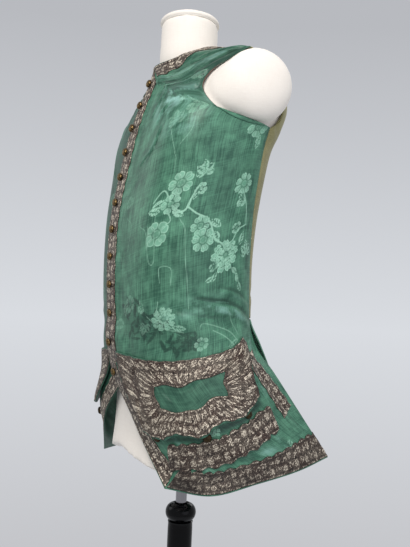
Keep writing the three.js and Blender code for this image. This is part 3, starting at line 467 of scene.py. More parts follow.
# edges on the surface: direction round from the centre front in degrees, height
sideSeam = [[126, 850], [123.5, 950], [115.5, 1075], [110, 1183]]
armholeFront = [
    [110, 1183], [92, 1184], [78, 1196], [68.5, 1218], [64.5, 1244], [68, 1270], [79, 1295], [91, 1313.5]
]
armholeBack = [[110, 1183], [118, 1198], [122, 1230], [118, 1264], [106, 1294], [91, 1313.5]]
neckline = [[-7.7, 1307], [9, 1308.5], [23, 1309.5], [43.6, 1322], [68.8, 1333], [94.8, 1337]]
shoulderSeam = [[91, 1313.5], [92, 1321], [93.3, 1329], [94.8, 1337]]
broadFolds = [  # from, to, depth, width
    [[30, 1290], [80, 1318], -2.4, 7], [[28, 1245], [66, 1292], -2.2, 9], [[26, 1268], [72, 1306], 1.6, 8],
    [[72, 866], [118, 884], -1.8, 8], [[60, 846], [112, 862], 1.6, 9],
]
seamTurn = math.degrees(cloth["seamGap"] / 165)
skirtShare, armShare, neckShare = 9 / 27, 7 / 18, 5 / 18


def sectionPoint(z, angle, inset=0.0, rows=garmentSections):
    # superellipse: |x/half|^n + |y/depth|^n = 1, with one depth and n in front of the widest line, one behind
    half, middle, front, back, squareFront, squareBack = np.moveaxis(
        splineThrough(rows[:, 1:], rows[:, 0], z), -1, 0
    )
    across, ahead = np.sin(angle), np.cos(angle)
    depth = np.where(ahead >= 0, front, back) - inset
    square = np.where(ahead >= 0, squareFront, squareBack)
    reach = (np.abs(across / (half - inset)) ** square + np.abs(ahead / depth) ** square) ** (-1 / square)
    return np.stack([reach * across, middle - reach * ahead, z + 0 * angle], -1)


# how far round the upper front stands out: degrees low down and at the neck
lapForm = {"neckFrom": 1250, "neckOver": 40, "neckLift": 0.45, "to": (7, 19), "over": (11, 17)}


def garmentPoint(place, lapped):
    # the section's point, moved out by the broad folds and, on the upper front, by the lap over the lower one
    turn, z = place[..., 0], place[..., 1]
    points = sectionPoint(z, np.radians(turn))
    lift = np.zeros_like(z)
    for start, end, depth, width in broadFolds:
        along = np.array([(end[0] - start[0]) * 2.8, end[1] - start[1]])
        off = np.stack([(np.abs(turn) - start[0]) * 2.8, z - start[1]], -1)
        length = np.hypot(*along)
        t = off @ along / length**2
        side = (off[..., 0] * along[1] - off[..., 1] * along[0]) / length
        lift += depth * np.sin(math.pi * np.clip(t, 0, 1)) * np.exp(-((side / width) ** 2))
    if lapped:
        atNeck = smooth((z - lapForm["neckFrom"]) / lapForm["neckOver"])
        past = (turn - mix(*lapForm["to"], atNeck)) / mix(*lapForm["over"], atNeck)
        lift += cloth["layerLift"] * (1 + lapForm["neckLift"] * atNeck) * (1 - smooth(past))
    outward = np.stack([np.sin(np.radians(turn)), -np.cos(np.radians(turn)), np.zeros_like(turn)], -1)
    return points + outward * lift[..., None]


def skirtPoints(table, waistPlace, lapped, u, v):
    # each row read through its five points, then each column through the rows, the waist and a row above it
    rows = np.stack([splineThrough(row, [0, 0.25, 0.5, 0.75, 1], u) for row in table])
    waist = garmentPoint(waistPlace(u, cloth["waist"]), lapped)
    above = garmentPoint(waistPlace(u, cloth["waist"] + 50), lapped)
    rows = np.concatenate([rows, waist[None], above[None]])
    return splineThrough(rows, np.arange(6) / 4, v)


def frontEdgeAngle(z, lapped):
    # past the centre by the overlap, and further for the upper front from the ribs down
    overlap = cloth["overlap"]
    if lapped:
        overlap = mix(cloth["lap"], overlap, smooth((z - cloth["lapTo"]) / cloth["lapOver"]))
    depth = splineThrough(garmentSections[:, 3], garmentSections[:, 0], z)
    return np.degrees(-np.arctan(overlap / depth))


def sideEdge(v, armhole):
    # up the side seam, then round the armhole
    seam = alongPlaces(sideSeam, np.clip(v / (1 - armShare), 0, 1))
    around = alongPlaces(armhole, np.clip((v - 1 + armShare) / armShare, 0, 1))
    return np.where((v <= 1 - armShare + 1e-9)[:, None], seam, around)


def panelFrom(points):
    # adds the normal, the steps across and up, and the lengths across and up the cloth at each node
    rows, columns = points.shape[:2]
    across, up = np.gradient(points, axis=1), np.gradient(points, axis=0)
    lengthAcross = np.concatenate(
        [np.zeros((rows, 1)), np.cumsum(np.linalg.norm(np.diff(points, axis=1), axis=-1), 1)], 1
    )
    lengthUp = np.concatenate(
        [np.zeros((1, columns)), np.cumsum(np.linalg.norm(np.diff(points, axis=0), axis=-1), 0)], 0
    )
    return {
        "points": points, "normal": unit(np.cross(across, up)), "across": across * (columns - 1),
        "up": up * (rows - 1), "flat": np.stack([lengthAcross, lengthUp], -1),
    }


# each trough has a bank on one side
crease = {"deepest": 4.0, "bank": 0.45, "bankOff": 1.9, "bankWidth": 1.2}


def creased(panel, creases):
    # moves the cloth along its normal by soft troughs and ridges: each is depth times exp(-(side/width)^2),
    # fading out at its ends
    flat = panel["flat"]
    lift = np.zeros(flat.shape[:2])
    for start, end, depth, width, skew in creases:
        a, b = readGrid(flat, *start), readGrid(flat, *end)
        along = b - a
        length = np.hypot(*along)
        off = flat - a
        t = off @ along / length**2
        side = (off[..., 0] * along[1] - off[..., 1] * along[0]) / length
        side = side - skew * np.sin(math.pi * np.clip(t, 0, 1))
        fade = np.sin(math.pi * np.clip(t, 0, 1) ** 0.8) ** 0.7
        bankSide = (side - crease["bankOff"] * width) / (crease["bankWidth"] * width)
        lift += depth * fade * (np.exp(-((side / width) ** 2)) - crease["bank"] * np.exp(-(bankSide**2)))
    deepest = crease["deepest"]  # so that no trough reaches what lies under the cloth
    lift = np.where(lift < 0, -deepest * np.tanh(-lift / deepest), lift)
    return {**panelFrom(panel["points"] + panel["normal"] * lift[..., None]), "lift": lift}


frontGrid = {"columns": 192, "rows": 432}
frontCreases = [  # ends as shares across and up, depth, width, bend to one side
    [(0.99, 0.985), (0.36, 0.790), -4.6, 6.0, 6], [(1.00, 0.962), (0.56, 0.872), -4.2, 4.8, -4],
    [(0.99, 0.938), (0.50, 0.810), -4.8, 6.5, 5], [(0.90, 0.990), (0.28, 0.860), -2.6, 4.5, 7],
    [(0.97, 0.905), (0.62, 0.830), -2.6, 4.0, 3], [(0.66, 0.940), (0.20, 0.780), 1.6, 7.0, 6],
    [(0.47, 0.748), (0.39, 0.695), -3.2, 3.0, 5], [(0.44, 0.695), (0.35, 0.618), -2.8, 3.0, -5],
    [(0.40, 0.645), (0.28, 0.605), -2.2, 2.6, 3], [(0.33, 0.600), (0.20, 0.560), -1.1, 3.5, 2],
    [(0.26, 0.728), (0.14, 0.650), -0.9, 4.5, 3], [(0.36, 0.790), (0.30, 0.740), -1.1, 3.0, 2],
    [(0.64, 0.374), (1.00, 0.322), -3.2, 4.5, -5], [(0.70, 0.352), (0.98, 0.302), 1.9, 5.0, -3],
    [(0.76, 0.394), (0.99, 0.360), -2.2, 4.0, -3], [(0.58, 0.348), (0.80, 0.336), -1.4, 4.0, 2],
    [(0.30, 0.352), (0.62, 0.330), -0.8, 7.0, 3], [(0.82, 0.470), (0.98, 0.430), -0.7, 6.0, 2],
    [(0.90, 0.660), (0.99, 0.560), -0.7, 6.0, 3], [(0.72, 0.700), (0.98, 0.690), -0.9, 6.0, 2],
    [(0.12, 0.470), (0.30, 0.430), -0.6, 8.0, 3], [(0.97, 0.300), (0.86, 0.130), 1.8, 8.0, 6],
    [(0.93, 0.250), (0.97, 0.080), -1.8, 7.0, -4], [(0.62, 0.090), (0.55, 0.005), -1.6, 9.0, 2],
    [(0.30, 0.100), (0.34, 0.005), 1.4, 9.0, 2], [(0.80, 0.085), (0.82, 0.005), 1.6, 10.0, 3],
    [(0.10, 0.160), (0.06, 0.040), -1.0, 6.0, 2], [(0.97, 0.975), (0.48, 0.845), -2.8, 3.0, 3],
    [(0.98, 0.950), (0.30, 0.770), -2.6, 2.8, -5], [(0.94, 0.925), (0.40, 0.745), -2.4, 3.0, 5],
    [(0.80, 0.985), (0.22, 0.835), -2.4, 2.8, 4], [(0.70, 0.900), (0.14, 0.790), -2.0, 2.8, -4],
    [(0.60, 0.930), (0.10, 0.850), -2.2, 2.6, 3], [(0.90, 0.890), (0.52, 0.770), -2.6, 3.2, -3],
    [(0.45, 0.800), (0.30, 0.700), -1.8, 2.8, 3],
]


lapSkirt = {"to": 0.12, "over": 0.1, "ends": 0.25, "by": 6.0}  # the upper skirt stands forward near its edge


def frontPanel(lapped):
    columns, rows = frontGrid["columns"], frontGrid["rows"]
    u = np.linspace(0, 1, columns + 1)
    skirtRows = rows // 3
    v = np.linspace(0, 1, rows - skirtRows + 1)
    low = v <= 1 - neckShare + 1e-9
    z = mix(cloth["waist"], neckline[0][1], v / (1 - neckShare))
    neck = alongPlaces(neckline, np.clip((v - 1 + neckShare) / neckShare, 0, 1))
    left = np.where(low[:, None], np.stack([frontEdgeAngle(z, lapped), z], 1), neck)
    right = sideEdge(v, armholeFront) - [seamTurn, 0]
    top = alongPlaces(shoulderSeam, 1 - u) - [2.4 * seamTurn, 0]
    left[-1], right[-1] = top[0], top[-1]

    def waistPlace(share, height):
        return np.stack(
            [mix(frontEdgeAngle(height, lapped), sideSeam[0][0] - seamTurn, share), height + 0 * share], -1
        )

    body = garmentPoint(fillBetween(left, right, waistPlace(u, cloth["waist"]), top, u, v), lapped)
    table = frontSkirtRows.astype(float).copy()
    if lapped:
        table[2:, 0, 0] = -cloth["lap"]
    else:
        for k in range(4):
            table[k, 0, 1] -= rightForward["edge"][k]
            table[k, 1, 1] -= rightForward["skirt"][k] * rightForward["second"][k]
            table[k, 2, 1] -= rightForward["skirt"][k] * rightForward["third"]
    down = np.arange(skirtRows) / skirtRows
    skirt = skirtPoints(table, waistPlace, lapped, u, down)
    if lapped:
        ends = lapSkirt["ends"]
        near = 1 - smooth((u - lapSkirt["to"]) / lapSkirt["over"])
        inside = smooth((down - ends) / ends) * (1 - smooth((down - 1 + ends) / ends))
        skirt[..., 1] -= (cloth["layerLift"] + lapSkirt["by"]) * near * inside[:, None]
    return creased(panelFrom(np.concatenate([skirt, body])), frontCreases)


backGrid = {"columns": 120, "rows": 120, "shoulder": 0.28}
backCreases = [
    [(0.5, 0.0), (0.5, 0.999), -0.9, 1.6, 0], [(0.02, 0.66), (0.30, 0.58), -1.8, 8, 5],
    [(0.98, 0.66), (0.72, 0.55), -1.6, 8, -5], [(0.08, 0.97), (0.30, 0.84), -1.8, 7, 4],
    [(0.93, 0.98), (0.68, 0.86), -1.7, 7, -4], [(0.02, 0.07), (0.34, 0.12), -1.6, 7, 3],
    [(0.98, 0.10), (0.70, 0.06), -1.6, 7, 3], [(0.30, 0.40), (0.44, 0.18), -1.0, 9, 5],
    [(0.72, 0.44), (0.58, 0.20), -1.1, 9, -5],
]


def backPanel():
    u, v = np.linspace(0, 1, backGrid["columns"] + 1), np.linspace(0, 1, backGrid["rows"] + 1)
    left = sideEdge(v, armholeBack) + [seamTurn, 0]
    right = np.stack([360 - left[:, 0], left[:, 1]], 1)
    share = backGrid["shoulder"]
    half = np.minimum(u, 1 - u)
    shoulder = alongPlaces(shoulderSeam, np.clip(half / share, 0, 1)) + [2.4 * seamTurn, 0]
    neckTurn, neckHeight = neckline[-1]
    across = mix(neckTurn + seamTurn, 180, (half - share) / (0.5 - share))
    neck = np.stack([across, np.full(len(u), float(neckHeight))], 1)
    top = np.where((half <= share)[:, None], shoulder, neck)
    top[:, 0] = np.where(u <= 0.5, top[:, 0], 360 - top[:, 0])
    left[-1], right[-1] = top[0], top[-1]
    bottom = np.stack([mix(left[0, 0], right[0, 0], u), np.full(len(u), cloth["waist"])], 1)
    panel = panelFrom(garmentPoint(fillBetween(left, right, bottom, top, u, v), False))
    return creased(panel, backCreases)


backSkirtGrid = {"columns": 56, "rows": 104, "upTo": 0.985}
backSkirtCreases = [
    [(0.25, 0.95), (0.18, 0.05), 1.8, 9, 3], [(0.55, 0.9), (0.62, 0.02), -1.9, 10, -3],
    [(0.85, 0.8), (0.9, 0.05), 1.3, 7, 2], [(0.4, 0.5), (0.38, 0.0), -1.2, 7, 1],
]


def backSkirtPanel():
    u = np.linspace(0, 1, backSkirtGrid["columns"] + 1)
    v = np.linspace(0, backSkirtGrid["upTo"], backSkirtGrid["rows"] + 1)

    def waistPlace(share, height):
        return np.stack([mix(sideSeam[0][0] + 2 * seamTurn, 179, share), height + 0 * share], -1)

    points = skirtPoints(backSkirtRows.astype(float), waistPlace, False, u, v)
    return creased(panelFrom(points), backSkirtCreases)


# the damask pattern
leafForm = {"gap": 1.2, "ribs": 5.4, "ribHalf": 0.8, "vein": 0.9, "veinTo": 0.8, "ribsIn": 1.2}
flowerForm = {
    "gap": 1.3, "base": 0.62, "lobe": 0.38, "notch": 0.10, "notchFrom": 0.96, "parting": 0.95, "vein": 0.55,
    "veinFrom": 0.24, "veinTo": 0.09, "ring": 1.0, "dark": 0.50, "darkTo": 0.22, "darkOver": 0.55,
    "shine": 0.14,
}


class Weaver:
    # paints shapes in millimetres on the flat cloth as signed distances: above 0 inside the pattern
    def __init__(self, panel):
        self.full = 3.0  # the distance past which a place is well inside or outside
        self.x, self.y = panel["flat"][..., 0], panel["flat"][..., 1]
        self.bloom = np.full(self.x.shape, -self.full)
        self.strength = np.zeros(self.x.shape)
        self.dusk = np.zeros(self.x.shape)

    def window(self, x, y, reach):
        return np.nonzero((np.abs(self.x - x) < reach) & (np.abs(self.y - y) < reach))

    def paint(self, x, y, reach, distance, strength, gap=flowerForm["gap"]):
        # a shape over earlier ones, parted from them by a narrow gap of ground
        spot = self.window(x, y, reach + 5)
        inside = distance(self.x[spot] - x, self.y[spot] - y)
        self.bloom[spot] = np.maximum(
            np.minimum(self.bloom[spot], -inside - gap), np.clip(inside, -self.full, self.full)
        )
        near = inside > -self.full
        self.strength[spot] = np.where(
            near, np.where(inside > -0.8, strength, np.maximum(self.strength[spot], strength)),
            self.strength[spot],
        )

    def leaf(self, x, y, length, width, turn, strength, gap=leafForm["gap"]):
        # a pointed oval: its half width is a parabola along its length, with a vein left open down the middle
        c, s = math.cos(math.radians(turn)), math.sin(math.radians(turn))

        def distance(a, b):
            along, side = (a * c + b * s) / (length / 2), np.abs(-a * s + b * c)
            inside = width / 2 * (1 - along**2) - side
            spacing = leafForm["ribs"]
            ribs = np.abs((along * length / 2 - side) % spacing - spacing / 2) - leafForm["ribHalf"]
            ribs = np.where(inside > leafForm["ribsIn"], ribs, self.full)
            vein = np.where(np.abs(along) < leafForm["veinTo"], side - leafForm["vein"], self.full)
            return np.minimum(np.minimum(inside, vein), ribs)

        self.paint(x, y, length / 2, distance, strength, gap)

    def flower(self, x, y, size, petals, turn, strength, heart=0.17):
        # petals round a heart: r = size/2 (base + lobe |cos(petals t / 2)|^0.5), with thin gaps as veins
        form = flowerForm

        def distance(a, b):
            r, t = np.hypot(a, b), np.arctan2(b, a) - math.radians(turn)
            lobe = np.abs(np.cos(petals * t / 2))
            fromMiddle = 2 / petals * np.arccos(np.clip(lobe, 0, 1))
            notch = form["notch"] * smooth((lobe - form["notchFrom"]) / (1 - form["notchFrom"]))
            outline = size / 2 * (form["base"] + form["lobe"] * lobe**0.5 - notch) - r
            parting = r * (math.pi / petals - fromMiddle) - form["parting"]
            parting = np.where(r > heart * size, parting, self.full)
            veined = (r > form["veinFrom"] * size) & (outline > form["veinTo"] * size)
            veins = np.where(veined, r * fromMiddle - form["vein"], self.full)
            ringGap = np.abs(r - heart * size) - form["ring"]
            return np.minimum(np.minimum(outline, parting), np.minimum(veins, ringGap))

        self.paint(x, y, size / 2, distance, strength)
        # paler towards the rim and on each petal's one side, as the satin catches the light
        spot = self.window(x, y, size / 2)
        a, b = self.x[spot] - x, self.y[spot] - y
        share, t = np.hypot(a, b) / (size / 2), np.arctan2(b, a) - math.radians(turn)
        tone = mix(form["dark"], 1.0, smooth((share - form["darkTo"]) / form["darkOver"]))
        tone -= form["shine"] * (1 + np.sin(petals * t))
        self.strength[spot] *= np.where(share < 1, tone, 1.0)

    def rose(self, x, y, size, strength):
        # three rings of petals, each over the last and turned from it
        for share, petals, turn in ((1.0, 9, 10), (0.70, 7, 35), (0.42, 5, 0)):
            self.flower(
                x + (1 - share) * size * 0.05, y + (1 - share) * size * 0.08, size * share, petals, turn,
                strength,
            )

    def fan(self, x, y, size, turn, strength):
        # a leaf of five lobes, the middle one the longest
        for k, length in ((-2, 0.42), (2, 0.42), (-1, 0.55), (1, 0.55), (0, 0.66)):
            a = math.radians(turn + 38 * k)
            reach = size * length / 2
            self.leaf(
                x + reach * math.cos(a), y + reach * math.sin(a), size * length, size * 0.30, turn + 38 * k,
                strength, 0.7,
            )

    def bud(self, x, y, size, turn, strength):
        a = math.radians(turn)
        self.flower(x, y, size * 0.72, 3, turn, strength, heart=0.1)
        self.flower(
            x + size * 0.12 * math.cos(a), y + size * 0.12 * math.sin(a), size * 0.4, 3, turn + 60, strength,
            heart=0.1,
        )
        self.leaf(
            x + size * 0.38 * math.cos(a + 0.7), y + size * 0.38 * math.sin(a + 0.7), size * 0.5, size * 0.2,
            turn + 40, strength,
        )

    def stem(self, places, width, strength):
        # the distance to a smooth line through places
        fine = splineThrough(
            np.array(places, float), np.arange(len(places)),
            np.linspace(0, len(places) - 1, 12 * len(places)),
        )
        middle, reach = fine.mean(0), np.abs(fine - fine.mean(0)).max() + 6
        spot = self.window(*middle, reach)
        px, py = self.x[spot], self.y[spot]
        nearest = np.full(px.shape, 99.0)
        for a, b in zip(fine[:-1], fine[1:]):
            d = b - a
            t = np.clip(((px - a[0]) * d[0] + (py - a[1]) * d[1]) / max(d @ d, 1e-9), 0, 1)
            nearest = np.minimum(nearest, np.hypot(px - a[0] - t * d[0], py - a[1] - t * d[1]))
        inside = width / 2 - nearest
        grow = inside > self.bloom[spot]
        self.bloom[spot] = np.where(grow, np.clip(inside, -self.full, self.full), self.bloom[spot])
        self.strength[spot] = np.where(
            grow & (inside > -2.5), np.where(self.bloom[spot] > -2.5, strength, self.strength[spot]),
            self.strength[spot],
        )

    def shadeLeaf(self, x, y, length, width, turn, depth):
        # a dark worn leaf with a rib left lighter
        spot = self.window(x, y, length / 2 + 2)
        c, s = math.cos(math.radians(turn)), math.sin(math.radians(turn))
        a, b = self.x[spot] - x, self.y[spot] - y
        along, side = (a * c + b * s) / (length / 2), np.abs(-a * s + b * c)
        inside = np.minimum(width / 2 * (1 - along**2) - side, side + 0.2)
        self.dusk[spot] = np.maximum(self.dusk[spot], depth * smooth((inside + 0.3) / 1.1))

    def shade(self, x, y, size, depth):
        spot = self.window(x, y, size * 2)
        away = np.hypot(self.x[spot] - x, (self.y[spot] - y) * 1.2) / size
        self.dusk[spot] = np.maximum(self.dusk[spot], depth * np.exp(-(away**2)))


# the sprays: kind, place as shares across and up the front, size, turn (a flower's petals), strength
sprays = [
    ("fan", (0.690, 0.612), 40, 95, 0.78), ("flower", (0.590, 0.588), 42, 5, 0.95),
    ("bud", (0.680, 0.583), 30, 200, 0.95), ("leaf", (0.500, 0.542), 30, 15, 0.95),
    ("leaf", (0.478, 0.528), 26, -12, 1.0), ("flower", (0.555, 0.546), 34, 5, 0.95),
    ("leaf", (0.590, 0.530), 24, -30, 0.95), ("flower", (0.500, 0.487), 46, 4, 1.0),
    ("flower", (0.690, 0.512), 34, 5, 0.95), ("flower", (0.706, 0.485), 42, 6, 1.0),
    ("leaf", (0.765, 0.522), 26, 140, 0.9), ("leaf", (0.770, 0.495), 24, 110, 0.85),
    ("rose", (0.812, 0.458), 56, 0, 1.0), ("flower", (0.895, 0.612), 38, 7, 0.95),
    ("bud", (0.892, 0.575), 28, 80, 0.95), ("flower", (0.872, 0.520), 20, 4, 0.9),
    ("leaf", (0.905, 0.500), 24, 75, 0.9), ("fan", (0.945, 0.470), 40, 100, 0.85),
    ("bud", (0.750, 0.432), 20, 20, 0.7), ("leaf", (0.735, 0.408), 18, 20, 0.85),
    ("leaf", (0.758, 0.414), 18, 60, 0.8), ("leaf", (0.862, 0.432), 18, 130, 0.7),
    ("leaf", (0.878, 0.418), 18, 100, 0.7), ("leaf", (0.892, 0.400), 20, 110, 0.6),
    ("flower", (0.925, 0.732), 40, 5, 0.8), ("leaf", (0.940, 0.702), 26, 80, 0.6),
    ("rose", (0.520, 0.322), 46, 0, 0.75), ("leaf", (0.560, 0.302), 26, -20, 0.6),
    ("flower", (0.590, 0.262), 26, 5, 0.6), ("bud", (0.420, 0.345), 26, 60, 0.5),
    ("flower", (0.330, 0.352), 32, 6, 0.4), ("leaf", (0.280, 0.340), 26, 100, 0.35),
    ("fan", (0.400, 0.305), 36, 250, 0.3), ("leaf", (0.735, 0.262), 18, 200, 0.55),
    ("leaf", (0.760, 0.268), 18, 20, 0.55), ("flower", (0.620, 0.745), 34, 5, 0.45),
    ("leaf", (0.580, 0.772), 26, 60, 0.5), ("leaf", (0.660, 0.782), 24, 140, 0.45),
    ("fan", (0.520, 0.700), 40, 100, 0.3), ("flower", (0.260, 0.545), 24, 5, 0.4),
    ("leaf", (0.300, 0.548), 16, 60, 0.3), ("flower", (0.820, 0.905), 30, 5, 0.35),
    ("rose", (0.520, 0.100), 40, 0, 0.6), ("leaf", (0.850, 0.060), 24, 30, 0.6),
    ("flower", (0.900, 0.140), 30, 5, 0.5), ("leaf", (0.150, 0.420), 22, 100, 0.3),
    ("flower", (0.180, 0.300), 26, 5, 0.3), ("fan", (0.300, 0.840), 36, 80, 0.3),
]
stems = [  # places, width, strength
    ([(0.470, 0.545), (0.520, 0.570), (0.560, 0.545), (0.590, 0.535)], 2.4, 0.8),
    ([(0.640, 0.560), (0.630, 0.545), (0.610, 0.535), (0.570, 0.530)], 3.4, 0.95),
    ([(0.665, 0.585), (0.645, 0.565), (0.625, 0.542)], 2.8, 0.9),
    ([(0.630, 0.545), (0.670, 0.535), (0.720, 0.528), (0.745, 0.510), (0.735, 0.485)], 2.6, 0.95),
    ([(0.745, 0.512), (0.760, 0.492), (0.800, 0.482)], 2.6, 0.95),
    ([(0.812, 0.482), (0.850, 0.492), (0.880, 0.515), (0.930, 0.530)], 2.4, 0.9),
    ([(0.540, 0.535), (0.560, 0.515), (0.525, 0.502)], 2.2, 0.85),
    ([(0.890, 0.600), (0.925, 0.570), (0.935, 0.530)], 2.2, 0.8),
    ([(0.760, 0.470), (0.775, 0.440), (0.750, 0.425)], 1.8, 0.61),
    ([(0.840, 0.440), (0.870, 0.425), (0.905, 0.395)], 1.8, 0.61),
    ([(0.600, 0.520), (0.625, 0.500), (0.628, 0.455), (0.636, 0.400), (0.640, 0.350)], 1.8, 0.51),
    ([(0.452, 0.500), (0.455, 0.455), (0.470, 0.430), (0.492, 0.440), (0.488, 0.520)], 1.8, 0.51),
    ([(0.395, 0.520), (0.402, 0.500), (0.440, 0.490), (0.452, 0.455)], 1.8, 0.43),
    ([(0.520, 0.395), (0.518, 0.424), (0.568, 0.424), (0.566, 0.392)], 1.8, 0.51),
    ([(0.500, 0.690), (0.545, 0.640), (0.550, 0.610)], 1.8, 0.41),
    ([(0.510, 0.360), (0.505, 0.330), (0.525, 0.300)], 2.0, 0.6),
    ([(0.450, 0.330), (0.480, 0.300), (0.560, 0.290)], 1.8, 0.46),
    ([(0.700, 0.300), (0.730, 0.285), (0.745, 0.262)], 1.8, 0.46),
    ([(0.820, 0.350), (0.835, 0.320), (0.830, 0.290)], 1.8, 0.36),
    ([(0.640, 0.300), (0.690, 0.318), (0.780, 0.300), (0.790, 0.270)], 1.8, 0.41),
    ([(0.260, 0.515), (0.320, 0.500), (0.300, 0.450)], 1.8, 0.36),
    ([(0.620, 0.735), (0.600, 0.690), (0.560, 0.660)], 1.8, 0.36),
]
goldenAngle = 137.5
duskLeaves = [(0.40, 0.300, 26, 36), (0.50, 0.262, 20, 26), (0.33, 0.345, 10, 22)]  # place, how many, spread
shades = [  # darker places: place, size, depth
    ((0.36, 0.300), 30, 0.35), ((0.44, 0.285), 26, 0.40), ((0.52, 0.262), 22, 0.50),
    ((0.47, 0.735), 9, 0.45), ((0.41, 0.655), 9, 0.45), ((0.30, 0.610), 12, 0.5), ((0.60, 0.850), 20, 0.55),
    ((0.76, 0.930), 18, 0.55), ((0.48, 0.845), 14, 0.4), ((0.64, 0.760), 12, 0.4), ((0.28, 0.735), 14, 0.45),
    ((0.55, 0.395), 34, 0.15), ((0.90, 0.640), 26, 0.15), ((0.20, 0.790), 16, 0.4),
]


patternShift = 0.018  # the right front's pattern sits a little higher


def weavePattern(panel, weaver, mirrored):
    shift = patternShift if mirrored else 0.0
    for kind, (u, v), size, turn, strength in sprays:
        x, y = readGrid(panel["flat"], u, v + shift)
        if kind == "leaf":
            weaver.leaf(x, y, size, size * 0.48, turn, strength)
        elif kind == "fan":
            weaver.fan(x, y, size, turn, strength)
        elif kind == "flower":
            weaver.flower(x, y, size, turn, 15 + 40 * u, strength)
        elif kind == "rose":
            weaver.rose(x, y, size, strength)
        else:
            weaver.bud(x, y, size, turn, strength)
    for places, width, strength in stems:
        weaver.stem([readGrid(panel["flat"], u, v + shift) for u, v in places], width, strength)
    for (u, v), size, depth in shades:
        weaver.shade(*readGrid(panel["flat"], u, v), size, depth)
    for u, v, count, spread in duskLeaves:
        x, y = readGrid(panel["flat"], u, v)
        for k in range(count):
            reach, turn = spread * math.sqrt((k + 0.5) / count), goldenAngle * k
            a = math.radians(turn)
            leafX, leafY = x + reach * math.cos(a) * 1.3, y + reach * math.sin(a) * 0.8
            weaver.shadeLeaf(leafX, leafY, 15 + 7 * (k % 3), 6 + 2 * (k % 2), turn + 60 * (k % 3), 0.75)


sheenPlaces = [  # painted sheen, pale patches where the satin would catch the light: place, half width, half height, depth
    ((0.50, 0.765), 46, 40, 0.75), ((0.66, 0.800), 30, 20, 0.5), ((0.55, 0.700), 36, 22, 0.35),
    ((0.62, 0.345), 60, 16, 0.25), ((0.70, 0.052), 26, 9, 0.4),
]
# painted light and other tones on the silk: painted shade in the troughs, painted highlight on the ridges,
# painted shade under the lapped front and a painted shadow below the flap; upper and flap darken, binding and
# armhole give the binding's colour
paintedLightAndTones = {  # how much, from where and over how far
    "trough": (0.78, 0.3, 2.6), "ridge": (0.45, 0.3, 1.6), "upper": (0.36, 0.68, 0.16),
    "underLap": (0.6, 90.0, 60.0), "binding": 3.2, "armhole": (0.74, 0.88, 0.05), "flap": 0.38,
    "flapShadow": {"depth": 0.8, "across": 13.0, "up": 5.5, "drop": 0.004, "places": 22},
}


def clothMarks(panel, pattern=None, mirrored=False, worn=0.0):
    # what the silk's finish reads at each node: the pattern, painted shade, a painted shadow and other dark
    # places, painted sheen and highlight, and the armhole's binding
    shape = panel["points"].shape[:2]
    marks = {n: np.zeros(shape) for n in ("strength", "dusk", "paintedSheen", "edge")}
    marks["bloom"] = np.full(shape, -3.0)
    marks["dusk"] += worn
    if not pattern:
        return marks
    weaver = Weaver(panel)
    weavePattern(panel, weaver, mirrored)
    marks.update(bloom=weaver.bloom, strength=weaver.strength, dusk=weaver.dusk)
    x, y = panel["flat"][..., 0], panel["flat"][..., 1]

    def spot(mark, place, wide, tall, depth):
        away = ((x - place[0]) / wide) ** 2 + ((y - place[1]) / tall) ** 2
        marks[mark] = np.maximum(marks[mark], depth * np.exp(-away))

    for (u, v), wide, tall, depth in sheenPlaces:
        spot("paintedSheen", readGrid(panel["flat"], u, v), wide, tall, depth)
    rows = shape[0]
    fromTop = (np.arange(rows) / (rows - 1) - skirtShare) / (1 - skirtShare)
    start, end, over = paintedLightAndTones["armhole"]
    atArm = smooth((fromTop - start) / over) * (1 - smooth((fromTop - end) / over))
    toEdge = x[:, -1:] - x
    marks["edge"] = np.clip(1 - toEdge / paintedLightAndTones["binding"], 0, 1) ** 0.6 * atArm[:, None]
    # darker towards the top of the front
    depth, start, over = paintedLightAndTones["upper"]
    marks["dusk"] = np.maximum(marks["dusk"], depth * smooth((fromTop - start) / over)[:, None])
    # painted shade in the troughs of the creases
    depth, start, over = paintedLightAndTones["trough"]
    marks["dusk"] = np.maximum(marks["dusk"], depth * smooth((-panel["lift"] - start) / over))
    # painted highlight along the ridges of the creases
    depth, start, over = paintedLightAndTones["ridge"]
    marks["paintedSheen"] = np.maximum(marks["paintedSheen"], depth * smooth((panel["lift"] - start) / over))
    shadow = paintedLightAndTones["flapShadow"]
    for t in np.linspace(0.02, 0.98, shadow["places"]):  # the flap's shadow on the front below it
        u, v = line(flapFoot["from"], flapFoot["to"])(t)
        place = readGrid(panel["flat"], u, v - flapFoot["sag"] * math.sin(math.pi * t) - shadow["drop"])
        spot("dusk", place, shadow["across"], shadow["up"], shadow["depth"])
    if mirrored:
        # painted shade on the right front where the left front laps over it
        depth, start, over = paintedLightAndTones["underLap"]
        marks["dusk"] = np.maximum(marks["dusk"], depth * (1 - smooth((x - start) / over)))
    return marks


# lace
lace = {
    "thickness": 1.1, "lift": 0.75, "narrow": 30.0, "front": 36.0, "wide": 36.0, "margin": 2.0, "cell": 1.5,
    "relief": 0.75, "changeFrom": 0.45, "changeOver": 0.5,
}
scallop = {
    "depth": 3.5, "rise": 1.9, "round": 0.6, "sink": 1.2, "faint": 0.4, "period": 26.0, "nearPeriod": 24.0,
}
galloon = {  # millimetres, and how much each part raises the lace
    "period": 27.0, "sway": 0.20, "stemWidth": 1.5, "ribs": 5.2, "slant": 1.6, "ribFoot": 0.35,
    "behind": 0.8, "leafFrom": 0.15, "leafOver": 0.4, "partAt": 0.12, "partWidth": 0.16, "cordIn": 1.6,
    "cordWidth": 1.3, "gapIn": 4.8, "gapWidth": 1.4, "stem": 0.60, "lobes": 0.50, "cords": 0.45, "gaps": 0.6,
    "between": 0.45, "grain": 0.80, "sunk": 0.16,
}
buttonhole = {"half": 2.2, "from": 17.0, "to": 32.0}  # a dark slit beside each button
random = np.random.default_rng(1750)


